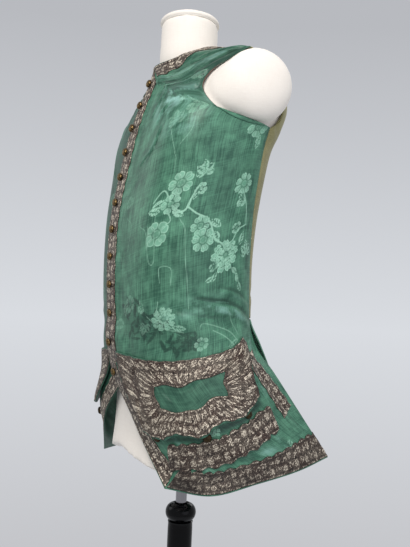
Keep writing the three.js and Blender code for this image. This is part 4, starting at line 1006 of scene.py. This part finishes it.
def laceRelief(along, across, width):
    # a winding stem, y = width (0.5 + sway sin(2 pi x / period)), with lobed leaves either side of it, corded
    # edges beside a dark line, and uneven wire between
    phase = 2 * math.pi * along / galloon["period"]
    middle = width * (0.5 + galloon["sway"] * np.sin(phase))
    stem = np.exp(-(((across - middle) / galloon["stemWidth"]) ** 2))
    leaf = np.cos(phase - galloon["behind"]) * np.sin(math.pi * across / width * 2)
    slanted = along * np.cos(phase / 2) + across * galloon["slant"]
    ribs = 0.5 + 0.5 * np.sin(2 * math.pi * slanted / galloon["ribs"])
    lobes = smooth((leaf - galloon["leafFrom"]) / galloon["leafOver"]) * mix(galloon["ribFoot"], 1.0, ribs)
    between = np.exp(-(((leaf - galloon["partAt"]) / galloon["partWidth"]) ** 2))
    fromEdge = np.minimum(across, width - across)
    cords = np.exp(-(((fromEdge - galloon["cordIn"]) / galloon["cordWidth"]) ** 2))
    gaps = np.exp(-(((fromEdge - galloon["gapIn"]) / galloon["gapWidth"]) ** 2))
    raised = galloon["stem"] * stem + galloon["lobes"] * lobes + galloon["cords"] * cords
    sunk = galloon["gaps"] * gaps + galloon["between"] * between + galloon["sunk"]
    return np.clip(raised - sunk + galloon["grain"] * random.random(along.shape), 0, 1)


def laceFaces(points, normal, relief, raised=0.0):
    # the outer face, raised by its relief, and the inner face under it
    lift = raised + lace["lift"]
    outer = points + normal * (lift + lace["thickness"] * 0.6 + lace["relief"] * (relief[..., None] - 0.5))
    return outer, points + normal * (lift - lace["lift"] * 0.5)


def stepOnPanel(panel, u, v, move):
    # Newton's steps to the place on the cloth that lies a given way from another
    target = readGrid(panel["points"], u, v) + move
    for _ in range(5):
        away = target - readGrid(panel["points"], u, v)
        du, dv = readGrid(panel["across"], u, v), readGrid(panel["up"], u, v)
        aa, bb, ab = dot(du, du), dot(dv, dv), dot(du, dv)
        a, b, area = dot(du, away), dot(dv, away), aa * bb - ab**2
        u = np.clip(u + (a * bb - b * ab) / area, 0, 1)
        v = np.clip(v + (b * aa - a * ab) / area, 0, 1)
    return u, v


def laceBand(name, panel, path, node, mirror, near, far, side, **more):
    # a strip beside a path on the cloth: each line of it is the path moved sideways by its distance, near to
    # far; more may give mitres, scallops, a change of width along it, swells, a darkening, slits and a lift
    t = np.linspace(0, 1, 1200)
    middle = readGrid(panel["points"], *path(t))
    stations = np.concatenate([[0.0], np.cumsum(np.linalg.norm(np.diff(middle, axis=0), axis=-1))])
    length = stations[-1]
    stepsAlong = 4 * max(2, int(round(length / lace["cell"] / 4)))
    stepsAcross = 4 * max(2, int(round((far - near) / lace["cell"] / 4)))
    k = np.linspace(0, 1, stepsAlong + 1)[:, None] * np.ones((1, stepsAcross + 1))
    w = np.linspace(0, 1, stepsAcross + 1)[None, :] * np.ones((stepsAlong + 1, 1))
    late = smooth((k - lace["changeFrom"]) / lace["changeOver"])
    nearHere, farHere = near + more.get("narrowing", 0) * late, far + more.get("widening", 0) * late
    for swell in more.get("swells", []):
        farHere = farHere + swell["by"] * np.exp(-(((k - swell["at"]) / swell["reach"]) ** 2))
    if more.get("waves"):  # round scallops with a cusp between each two
        arch = np.abs(np.sin(math.pi * more["waves"] * k)) ** scallop["round"]
        wave = scallop["depth"] * (scallop["rise"] * arch - scallop["sink"])
    else:
        wave = scallop["depth"] * scallop["faint"] * np.cos(2 * math.pi * length * k / scallop["period"])
    nearWave = more.get("nearWave", 0.0) * np.cos(2 * math.pi * length * k / scallop["nearPeriod"])
    away = mix(nearHere, farHere, w) + wave * w**3 + nearWave * (1 - w) ** 4
    distance = mix(away * more.get("startMitre", 0.0), length - away * more.get("endMitre", 0.0), k)
    share = np.interp(distance / length, stations / length, t)
    u, v = path(share)
    before = readGrid(panel["points"], *path(np.maximum(share - 0.006, 0)))
    after = readGrid(panel["points"], *path(np.minimum(share + 0.006, 1)))
    sideways = np.cross(readGrid(panel["normal"], u, v), unit(after - before)) * (side * away)[..., None]
    u, v = stepOnPanel(panel, u, v, sideways)
    points, normal = readGrid(panel["points"], u, v), unit(readGrid(panel["normal"], u, v))
    relief = laceRelief(distance, away - nearHere, farHere - nearHere)
    outer, inner = laceFaces(points, normal, relief, more.get("raised", 0.0))
    # darker along the band, from the start's amount to the end's; the hem is darkest at its start
    darkening = mix(*more.get("darkening", (0.0, 0.0)), smooth(k))
    darkening = darkening * (0.75 + 0.25 * np.sin(distance / 19) * np.sin(away / 7))
    for place in more.get("slits", []):
        along = np.exp(-(((distance - place) / buttonhole["half"]) ** 4))
        across = smooth((away - buttonhole["from"]) / 3) * (1 - smooth((away - buttonhole["to"]) / 4))
        darkening = np.maximum(darkening, along * across)
    grids = [outer, inner, relief, darkening, away, distance]
    if side > 0:
        grids = [g[:, ::-1] for g in grids]
    # the strip runs with its length as columns; turn it over where its faces would point in
    outer, inner, relief, darkening, away, distance = (np.swapaxes(g, 0, 1) for g in grids)
    uv = np.stack([distance, away], -1)
    facing = np.cross(outer[1:2, 1:] - outer[:1, 1:], outer[:1, 1:] - outer[:1, :-1]).mean((0, 1))
    if facing @ normal.mean((0, 1)) > 0:
        outer, inner, relief, darkening, uv = (g[::-1] for g in (outer, inner, relief, darkening, uv))
    marks = {"relief": relief, "darkening": darkening}
    return wallObject(name, outer, inner, laceFinish, node, "metal_lace", uv, marks, mirror, step=4)


def line(start, end):
    return lambda t: (mix(start[0], end[0], t), mix(start[1], end[1], t))


def through(places):
    places = np.array(places, float)
    return lambda t: tuple(np.moveaxis(splineThrough(places, np.linspace(0, 1, len(places)), t), -1, 0))


# flap
flap = {
    "columns": 168, "rows": 56, "thickness": 1.4, "topGap": 2.1, "footGap": 9.0, "lobes": 3,
    "lobeDepth": 0.004, "rightRise": 0.015,
    "border": {"left": 0.30, "right": 0.24, "foot": 0.28, "top": 0.43}, "endBand": 0.27, "ringsAcross": 24,
    "sideCells": 200, "endCells": 64, "inner": (2.2, 118.0), "outer": (1.1, 27.0),
}
flapTop = {"from": (0.125, 0.222), "to": (0.845, 0.283), "sag": 0.034}
flapFoot = {"from": (0.158, 0.08), "to": (0.79, 0.134), "sag": 0.018}
pocketSidePlaces = [[0.835, 0.232], [0.88, 0.18], [0.912, 0.145], [0.935, 0.112]]
pocketLowPlaces = [
    [0.84, 0.106], [0.78, 0.1], [0.72, 0.088], [0.64, 0.077], [0.56, 0.066], [0.45, 0.056], [0.3, 0.05],
    [0.185, 0.047],
]
pocketButtons = [[0.218, 0.076], [0.492, 0.084], [0.718, 0.117]]
flapCreases = [
    [(0.22, 0.98), (0.10, 0.55), -2.6, 3.0, 3], [(0.30, 0.95), (0.20, 0.70), 1.5, 4.0, 2],
    [(0.13, 0.42), (0.06, 0.02), -2.4, 3.0, 3], [(0.36, 0.70), (0.66, 0.62), 1.6, 4.0, 4],
    [(0.40, 0.35), (0.30, 0.52), 1.4, 4.0, 2], [(0.66, 0.02), (0.82, 0.34), -2.2, 5.0, 3],
    [(0.88, 0.98), (0.80, 0.55), -1.8, 4.5, 3], [(0.55, 0.02), (0.50, 0.25), 1.4, 6.0, 2],
    [(0.97, 0.62), (0.74, 0.40), -1.4, 4.0, -3],
]


def flapPanel(front, raised):
    # hangs from its top edge and stands off the front towards its foot, which has shallow lobes
    t, level = np.meshgrid(np.linspace(0, 1, flap["columns"] + 1), np.linspace(0, 1, flap["rows"] + 1))
    down = 1 - level

    def sagging(edge):
        u, v = line(edge["from"], edge["to"])(t)
        return u, v - edge["sag"] * np.sin(math.pi * t)

    top, foot = sagging(flapTop), sagging(flapFoot)
    rise = flap["rightRise"] if raised else 0.0
    lobe = flap["lobeDepth"] * np.cos(2 * math.pi * flap["lobes"] * t) * down
    u, v = mix(top[0], foot[0], down), mix(top[1], foot[1] + rise, down) + lobe
    off = flap["thickness"] + mix(flap["topGap"], flap["footGap"], down**1.5)
    normal = unit(readGrid(front["normal"], u, v))
    return creased(panelFrom(readGrid(front["points"], u, v) + normal * off[..., None]), flapCreases)


def flapLace(name, panel, node, mirror):
    # a frame of lace: rings between the flap's edge and a smaller outline inside it, both uneven
    wide = float(panel["flat"][panel["flat"].shape[0] // 2, -1, 0])
    tall = float(panel["flat"][-1, panel["flat"].shape[1] // 2, 1])
    depth = np.linspace(1, 0, flap["ringsAcross"] + 1)[:, None]
    sides = [  # each side of the frame: its start, its end, its cells and its length
        ((0, 0), (1, 0), flap["sideCells"], wide), ((1, 0), (1, 1), flap["endCells"], tall),
        ((1, 1), (0, 1), flap["sideCells"], wide), ((0, 1), (0, 0), flap["endCells"], tall),
    ]
    share, run, passed = [], [], 0.0
    for start, end, cells, length in sides:
        t = np.arange(cells) / cells
        share.append(np.stack(line(start, end)(t), 1))
        run.append(t * length + passed)
        passed += length
    share, run = np.concatenate(share), np.concatenate(run)
    (innerDepth, innerPeriod), (outerDepth, outerPeriod) = flap["inner"], flap["outer"]
    scallops = innerDepth * np.cos(2 * math.pi * run / innerPeriod) * depth**3
    scallops = scallops + outerDepth * (1 - np.cos(2 * math.pi * run / outerPeriod)) * (1 - depth) ** 6
    border = {}
    for side, size in flap["border"].items():
        reach = size * (wide if side in ("left", "right") else tall)
        border[side] = mix(lace["margin"] / 2, reach, depth) + scallops
    x = mix(border["left"], wide - border["right"], share[:, 0]) / wide
    y = mix(border["foot"], tall - border["top"], share[:, 1]) / tall
    bandWidth = np.where(share[:, 1] == 1, border["top"][0], flap["endBand"] * wide)
    bandWidth = np.where(share[:, 1] == 0, border["foot"][0], bandWidth)
    inset = depth * bandWidth
    points, normal = readGrid(panel["points"], x, y), unit(readGrid(panel["normal"], x, y))
    relief = laceRelief(run + 0 * inset, inset, bandWidth)
    outer, inner = laceFaces(points, normal, relief)
    uv = readGrid(panel["flat"], x, y)
    facing = dot(np.cross(np.roll(outer[0], -1, 0) - outer[0], outer[1] - outer[0]), normal[0]).mean()
    if facing < 0:
        outer, inner, relief, uv = outer[::-1], inner[::-1], relief[::-1], uv[::-1]
    return wallObject(
        name, outer, inner, laceFinish, node, "metal_lace", uv, {"relief": relief}, mirror, step=4, ring=True
    )


# buttons
button = {
    "radius": 7.6, "height": 6.4, "around": 32, "rings": 11, "gap": 0.5, "threads": 4.5, "relief": 0.45
}


def buttonsAt(name, places, nodes, mirror=False, worn=1.0):
    # a dome on an oval profile, r = cos(t)^0.75 and height = 0.24 + 0.76 sin(t), thread laid in four quarters
    share = np.linspace(0, 1, button["rings"])
    turn = 2 * math.pi * np.arange(button["around"]) / button["around"]
    profileRadius = button["radius"] * np.concatenate(
        [[0.60, 0.90], np.cos(share[:-1] * math.pi / 2) ** 0.75]
    )
    profileHeight = button["height"] * np.concatenate(
        [[0.0, 0.08], 0.24 + 0.76 * np.sin(share[:-1] * math.pi / 2)]
    )
    r, a = np.meshgrid(profileRadius / button["radius"], turn, indexing="ij")
    quarter = np.sign(np.cos(2 * a))
    threads = np.cos(2 * math.pi * button["threads"] * r * np.where(quarter > 0, np.sin(a), np.cos(a)))
    relief = 0.5 + 0.5 * threads
    heights = profileHeight[:, None] + button["relief"] * (relief - 0.5) * (
        np.arange(len(profileHeight)) > 2
    )[:, None]
    allPoints, allFaces, allRelief = [], [], []
    start = 0
    for point, normal in places:
        side = unit(np.cross(normal, [0.0, 0.0, 1.0]))
        upward = np.cross(side, normal)
        outward = np.cos(a)[..., None] * side + np.sin(a)[..., None] * upward
        rings = point + (r * button["radius"])[..., None] * outward + heights[..., None] * normal
        points = ringPoints(rings)
        points[-1] = point + normal * button["height"]
        flip = np.cross(rings[3, 1] - rings[3, 0], rings[4, 0] - rings[3, 0]) @ (
            rings[3, 0] - rings[3].mean(0)
        ) < 0
        faces = ringFaces(*rings.shape[:2])
        allFaces += [start + (f[:, ::-1] if flip else f) for f in faces]
        allPoints.append(points)
        allRelief.append(np.concatenate([relief.ravel(), [0.3, 0.7]]))
        start += len(points)
    points, marks = np.concatenate(allPoints), {"relief": worn * np.concatenate(allRelief)}
    return makeObject(name, points, allFaces, giltFinish, nodes, "gilt_button", marks=marks, mirror=mirror)


# sewing it together
buttonRow = {"count": 12, "top": 1272.0, "foot": 742.0, "growth": 0.13, "across": -2.0, "lift": 2.5}
rowShare = np.arange(buttonRow["count"]) / (buttonRow["count"] - 1)
buttonHeights = mix(
    buttonRow["top"], buttonRow["foot"], rowShare - buttonRow["growth"] * rowShare * (1 - rowShare)
)


laceBands = {
    "front": {
        "near": 1.2, "far": lace["front"], "side": -1, "startMitre": 0.53, "endMitre": 1.04,
        "swells": [{"by": 16.0, "at": 0.375, "reach": 0.075}, {"by": 12.0, "at": 0.60, "reach": 0.24}],
    },
    "neck": {
        "near": 1.2, "far": lace["narrow"] * 0.9, "side": -1, "startMitre": 1.04, "darkening": (0.12, 0.12)
    },
    "hem": {
        "near": 2.0, "far": lace["wide"] + 1, "side": 1, "startMitre": 0.53, "waves": 14, "widening": 12,
        "darkening": (0.85, 0.30),
    },
    "pocketSide": {"near": -18.0, "far": 18.0, "side": -1, "nearWave": 1.5},
    "pocketLow": {
        "near": -22.0, "far": 23.0, "side": -1, "waves": 11, "narrowing": 2, "nearWave": 2.5,
        "darkening": (0.1, 0.45), "raised": 1.7,
    },
}


def clothObject(
    name, panel, finish, node, slot, marks=None, mirror=False, thickness=cloth["thickness"], start=(0, 0)
):
    # the panel and a second face behind it; the weave is read from its flat sizes, counted from the start
    inner = panel["points"] - panel["normal"] * thickness
    return wallObject(
        name, panel["points"], inner, finish, node, slot, panel["flat"] + np.array(start), marks, mirror
    )


def placeFront(side):
    lapped = side == "left"
    mirror = not lapped
    panel = frontPanel(lapped)
    tag = "Left" if lapped else "Right"
    front = clothObject(
        "front" + tag, panel, silk, f"front_{side}", "green_silk", clothMarks(panel, True, mirror), mirror
    )
    neck = 1 - neckShare * (1 - skirtShare)
    slits = np.interp(buttonHeights[2:], panel["points"][:, 0, 2], panel["flat"][:, 0, 1]) if lapped else []

    def band(name, path, node, **more):
        return laceBand(name + tag, panel, path, f"{node}_{side}", mirror, **more)

    pieces = [
        band("frontLace", line((0, 0), (0, neck)), "front_lace", **laceBands["front"], slits=slits),
        band("neckLace", line((0, neck + 0.002), (0, 0.998)), "neck_lace", **laceBands["neck"]),
        band("hemLace", line((0.008, 0), (1, 0)), "hem_lace", **laceBands["hem"]),
        band("pocketSideLace", through(pocketSidePlaces), "pocket_side_lace", **laceBands["pocketSide"]),
        band("pocketLowLace", through(pocketLowPlaces), "pocket_low_lace", **laceBands["pocketLow"]),
    ]
    hanging = flapPanel(panel, not lapped)
    marks = clothMarks(hanging, worn=paintedLightAndTones["flap"])
    under, start = flap["thickness"], [40, 300]
    flapCloth = clothObject(
        "flap" + tag, hanging, silk, f"flap_{side}", "green_silk", marks, mirror, under, start
    )
    border = flapLace("flapLace" + tag, hanging, f"flap_lace_{side}", mirror)
    places = []
    for u, v in pocketButtons:
        normal = unit(readGrid(panel["normal"], u, v))
        places.append((readGrid(panel["points"], u, v) + normal * button["gap"], normal))
    small = buttonsAt(
        "pocketButtons" + tag, places, [f"pocket_button_{k}_{side}" for k in (1, 2, 3)], mirror, worn=0.3
    )
    print("front", side, "placed")
    return panel


leftFront = placeFront("left")
placeFront("right")

edgeShare = np.linspace(0, 1, frontGrid["rows"] + 1)
upShare = np.interp(buttonHeights, leftFront["points"][:, 0, 2], edgeShare)
fromEdge = buttonRow["across"] - readGrid(leftFront["points"], np.zeros(12), upShare)[:, :1]
buttonU, buttonV = stepOnPanel(leftFront, np.zeros(12), upShare, fromEdge * [1.0, 0.0, 0.0])
buttonNormals = unit(readGrid(leftFront["normal"], buttonU, buttonV))
buttonSeats = readGrid(leftFront["points"], buttonU, buttonV) + buttonNormals * buttonRow["lift"]
buttonsAt("frontButtons", list(zip(buttonSeats, buttonNormals)), [f"button_{k}" for k in range(1, 13)])
print("buttons placed")

back = backPanel()
backCloth = clothObject("backLinen", back, linen, "back", "back_linen")
backSkirt = backSkirtPanel()
for side, mirror in (("Left", False), ("Right", True)):
    node, marks = "back_skirt_" + side.lower(), clothMarks(backSkirt)
    skirt = clothObject(
        "backSkirt" + side, backSkirt, silk, node, "green_silk", marks, mirror, start=[20, 100]
    )
print("back placed")

# the form
form = {
    "inset": 6.2, "drop": 4.4, "topDrop": 6.2, "around": 160, "bottomArch": 36.0, "voxel": 0.0042,
    "relax": 10,
}
hipSections = np.array([
    [606, 138, -26, 104, 108, 2.3, 2.3], [640, 142, -26, 98, 110, 2.3, 2.3],
    [700, 146, -26, 96, 112, 2.3, 2.3], [760, 149, -27, 98, 113, 2.3, 2.3],
    [800, 153, -28, 107, 116, 2.3, 2.3],
], float)
neckRings = np.array([[1284, 50, -21], [1320, 54, -24.5], [1350, 53.5, -24.5], [1389, 53, -24.5]], float)
neckCap = {"radius": 55.5, "lean": 7.0, "highest": 65.0}
shoulderCap = {
    "sink": 5.5, "inset": 9.5, "root": 34.0, "reach": 50.0, "rise": 0.2, "fullness": 0.8,
    "round": (72.0, 67.0),
}


def formRings():
    # the hips, then the garment's own sections brought in and down under the cloth, a ring at each level
    turn = 2 * math.pi * np.arange(form["around"]) / form["around"]
    hips = [
        sectionPoint(np.full(form["around"], z), turn, 0.0, hipSections) for z in np.linspace(606, 800, 12)
    ]
    hips[0][:, 2] -= form["bottomArch"] * np.sin(turn) ** 2
    for k, ring in enumerate(hips[1:3]):
        ring[:, 2] -= form["bottomArch"] * np.sin(turn) ** 2 * (0.55, 0.2)[k]
    body = []
    for z in np.concatenate(
        [np.linspace(826, 1285, 24), [1295, 1300, 1306, 1310, 1314, 1318, 1322, 1326, 1330, 1337]]
    ):
        ring = sectionPoint(np.full(form["around"], z), turn, form["inset"])
        ring[:, 2] -= form["topDrop"] if z > 1290 else form["drop"]
        body.append(ring)
    return np.stack(hips + body)


def neckBody():
    turn = 2 * math.pi * np.arange(96) / 96
    levels = np.linspace(neckRings[0, 0], neckRings[-1, 0], 12)
    rings = []
    for z, (radius, middle) in zip(levels, splineThrough(neckRings[:, 1:], neckRings[:, 0], levels)):
        rings.append(np.stack([radius * np.sin(turn), middle - radius * np.cos(turn), np.full(96, z)], -1))
    rings = np.stack(rings)
    rings[-1, :, 2] += 3.5 + math.tan(math.radians(neckCap["lean"])) * radius * np.cos(
        turn - math.radians(neckCap["highest"])
    )
    return rings


def shoulderRings():
    # the armhole's own edge brought in, then rings that round off to an oval and close over its middle
    k = np.linspace(0, 1, 33)[:-1]
    halves = [alongPlaces(armholeFront, 1 - k), alongPlaces(armholeBack, k)]
    edge = np.concatenate([garmentPoint(half, False) for half in halves])
    centre = edge.mean(0)
    under = edge + unit(centre - edge) * shoulderCap["inset"] - [shoulderCap["sink"], 0, 0]
    deep, tall = shoulderCap["round"]
    turn = np.arctan2((under[:, 2] - centre[2]) / tall, (under[:, 1] - centre[1]) / deep)
    oval = centre + np.stack([0 * turn, deep * np.cos(turn), tall * np.sin(turn)], -1)
    rings = [mix(centre, under, 0.8) - [shoulderCap["root"], 0, 0]]
    for angle in np.radians(np.linspace(0, 86, 14)):
        out, scale = (part(angle) ** shoulderCap["fullness"] for part in (math.sin, math.cos))
        reach = shoulderCap["reach"] * out
        rings.append(
            mix(centre, mix(under, oval, smooth(out * 1.4)), scale) + [reach, 0, reach * shoulderCap["rise"]]
        )
    return np.stack(rings)


def placeForm():
    # the closed bodies are joined by remeshing in small cubes, then relaxed, so that they flow together
    parts = [formRings(), neckBody(), shoulderRings(), shoulderRings() * [-1, 1, 1]]
    points, faces, start = [], [], 0
    for k, rings in enumerate(parts):
        own = ringPoints(rings)
        points.append(own)
        faces += [start + (f[:, ::-1] if k == 3 else f) for f in ringFaces(*rings.shape[:2])]
        start += len(own)
    body = makeObject("formBody", np.concatenate(points), faces, jersey, "form_torso", "form_jersey")
    remesh = body.modifiers.new("joined", "REMESH")
    remesh.mode, remesh.voxel_size = "VOXEL", form["voxel"]
    relax = body.modifiers.new("relaxed", "SMOOTH")
    relax.factor, relax.iterations = 0.5, form["relax"]
    finished = bpy.data.meshes.new_from_object(body.evaluated_get(bpy.context.evaluated_depsgraph_get()))
    body.modifiers.clear()
    body.data = finished
    finished.name = "formBody"
    finished.polygons.foreach_set("use_smooth", np.ones(len(finished.polygons), bool))
    if not finished.materials:
        finished.materials.append(jersey)
    print("form placed,", len(finished.polygons), "faces")


def turned(name, profile, finish, node, slot, sides=96, move=None, sharp=35):
    # a profile of radius and height carried once round the upright axis
    turn = 2 * math.pi * np.arange(sides) / sides
    profile = np.array(profile, float)
    rings = np.stack(
        [profile[:, :1] * np.sin(turn), -profile[:, :1] * np.cos(turn), profile[:, 1:] + 0 * turn], -1
    )
    points = ringPoints(rings)
    return makeObject(
        name, points if move is None else move(points), ringFaces(*rings.shape[:2]), finish, node, slot,
        sharp=sharp,
    )


def arc(centre, radius, start, end, steps):  # places on a part circle, angles from level outwards
    a = np.radians(np.linspace(start, end, steps))
    return [(centre[0] + radius[0] * math.cos(t), centre[1] + radius[1] * math.sin(t)) for t in a]


placeForm()


def leanNeck(points):
    toward, lean = math.radians(neckCap["highest"]), math.radians(neckCap["lean"])
    axis = np.array([-math.cos(toward), -math.sin(toward), 0.0])
    along = dot(points, axis)[:, None] * axis
    leaned = points * math.cos(lean) + np.cross(axis, points) * math.sin(lean) + along * (1 - math.cos(lean))
    return leaned + [0, neckRings[-1, 2], neckRings[-1, 0]]


capRadius = neckCap["radius"]
capProfile = [
    (capRadius - 4, 0.3), (capRadius - 2.6, 0.6), (capRadius - 2.2, 1.6),
    *arc((capRadius - 3.2, 6.2), (3.2, 4.4), -70, 80, 12),
    (capRadius - 4.6, 11.4), (capRadius - 8, 12.3), (capRadius * 0.6, 13.2), (capRadius * 0.25, 13.8),
]
turned("neckCap", capProfile, jersey, "form_neck_cap", "form_jersey", move=leanNeck, sharp=None)

stand = {"beadHeight": 34.0, "beadMiddle": 474.0, "base": 165.0}
beadTop = stand["beadMiddle"] + stand["beadHeight"] / 2
beadFoot = stand["beadMiddle"] - stand["beadHeight"] / 2
plateTop = float(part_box("stand_plate")[1][2]) / millimetre
base = stand["base"]
baseProfile = [
    (base - 4, 0.0), *arc((base - 5, 5), (5, 5), -80, 0, 5), (base, 12),
    *arc((base - 12, 12), (12, 7), 5, 85, 8), (base - 22, 19.6), (base - 40, 20),
]
columnProfile = [
    (32, 20.3), (32.5, 21), *arc((27.5, 27), (5, 6), -60, 70, 8), (24.6, 36), (23.6, 42), (23.5, 60),
    (23.5, beadFoot - 14), (23.2, beadFoot - 4), (23.9, beadFoot),
    *arc((15, stand["beadMiddle"]), (14, 16.6), -66, 66, 15), (15.8, beadTop), (12.5, beadTop - 1.6),
    (11.5, beadTop - 5),
]
rodProfile = [(7.5, beadTop - 4.7), (10.3, beadTop - 1), (10.5, beadTop + 5), (10.5, plateTop - 6.3)]
plateProfile = [(40, plateTop - 6), (42, plateTop - 5.2), (42, plateTop - 0.8), (41, plateTop)]
turned("standBase", baseProfile, lacquer, "stand_base", "stand_lacquer", sides=144)
turned("standColumn", columnProfile, lacquer, "stand_column", "stand_lacquer")
turned("standRod", rodProfile, steel, "stand_rod", "stand_steel", sides=64)
turned("standPlate", plateProfile, steel, "stand_plate", "stand_steel")
print("stand placed")

# floor, light and camera
floorMesh = bpy.data.meshes.new("floor")
ring = 2 * math.pi * np.arange(128) / 128
floorMesh.from_pydata(
    [(0.8 * math.cos(a), 0.8 * math.sin(a), -0.0005) for a in ring], [], [list(range(128))]
)
floor = bpy.data.objects.new("floor", floorMesh)
scene.collection.objects.link(floor)
floorFinish = newMaterial("paintedFloor", {"Roughness": 0.7, "Base Color": colour("#dcdfe4")})[0]
floorMesh.materials.append(floorFinish)

view = {
    "turn": 65.0, "distance": 1.390, "aside": 0.0265, "height": 0.897, "focal": 730.0, "roll": 2.5,
    "photo": (410, 547),
}
turn = math.radians(view["turn"])
toward = np.array([math.sin(turn), -math.cos(turn), 0.0])
rightward = np.array([math.cos(turn), math.sin(turn), 0.0])

studio = {  # name: toward the camera, to its right, height, size, power in watts, colour
    "key": (1.7, -0.2, 2.4, 1.3, 36.0, "#fffaf5"), "fill": (1.6, 1.3, 1.2, 2.0, 7.0, "#eef2ff"),
    "behind": (-1.8, 0.8, 2.1, 1.6, 16.0, "#ffffff"), "side": (-0.4, -2.0, 1.6, 1.2, 5.0, "#ffffff"),
}
for name, (ahead, aside, height, size, power, tint) in studio.items():
    lamp = bpy.data.lights.new(name, "AREA")
    lamp.shape, lamp.size, lamp.energy, lamp.color = "DISK", size, power, colour(tint)[:3]
    holder = bpy.data.objects.new(name, lamp)
    place = toward * ahead + rightward * aside + np.array([0, 0, height])
    aim = np.array([0, 0, 0.95]) - place
    holder.location = place
    holder.rotation_euler = Vector(aim).to_track_quat("-Z", "Y").to_euler()
    scene.collection.objects.link(holder)

backdrop = bpy.data.worlds.new("backdrop")
scene.world = backdrop
backdrop.use_nodes = True
tree = backdrop.node_tree
upward = addNode(tree, "SeparateXYZ", (addNode(tree, "TexCoord"),), "Z")
heightShare = addNode(tree, "MapRange", (upward, -0.36, 0.34))
paper = addNode(tree, "ValToRGB", (heightShare,))
ramp = paper.node.color_ramp
ramp.elements[0].color = colour("#c2c3c7")
ramp.elements[1].color = colour("#b8babf")
ramp.elements.new(0.45).color = colour("#d9dce1")
seen = addNode(tree, "Background", {"Color": paper, "Strength": 1.0})
lit = addNode(tree, "Background", {"Color": colour("#eef0f4"), "Strength": 0.55})
ray = addNode(tree, "LightPath", output="Is Camera Ray")
both = addNode(tree, "MixShader", {0: ray, 1: lit, 2: seen})
tree.links.new(both, tree.nodes["World Output"].inputs["Surface"])

camera = bpy.data.cameras.new("camera")
holder = bpy.data.objects.new("camera", camera)
scene.collection.objects.link(holder)
camera.sensor_fit, camera.sensor_height = "VERTICAL", 36.0
camera.lens = view["focal"] / view["photo"][1] * 36.0
roll = math.radians(view["roll"])
screenUp = np.array([0, 0, 1.0]) * math.cos(roll) - rightward * math.sin(roll)
screenRight = rightward * math.cos(roll) + np.array([0, 0, 1.0]) * math.sin(roll)
basis = Matrix((screenRight, screenUp, toward)).transposed().to_4x4()
basis.translation = Vector(
    toward * view["distance"] + rightward * view["aside"] + np.array([0, 0, view["height"]])
)
holder.matrix_world = basis
camera.shift_x, camera.shift_y = 16.5 / 547 * math.sin(roll), 16.5 / 547 * math.cos(roll)
camera.clip_start, camera.clip_end = 0.05, 50
scene.camera = holder
print("light and camera placed")
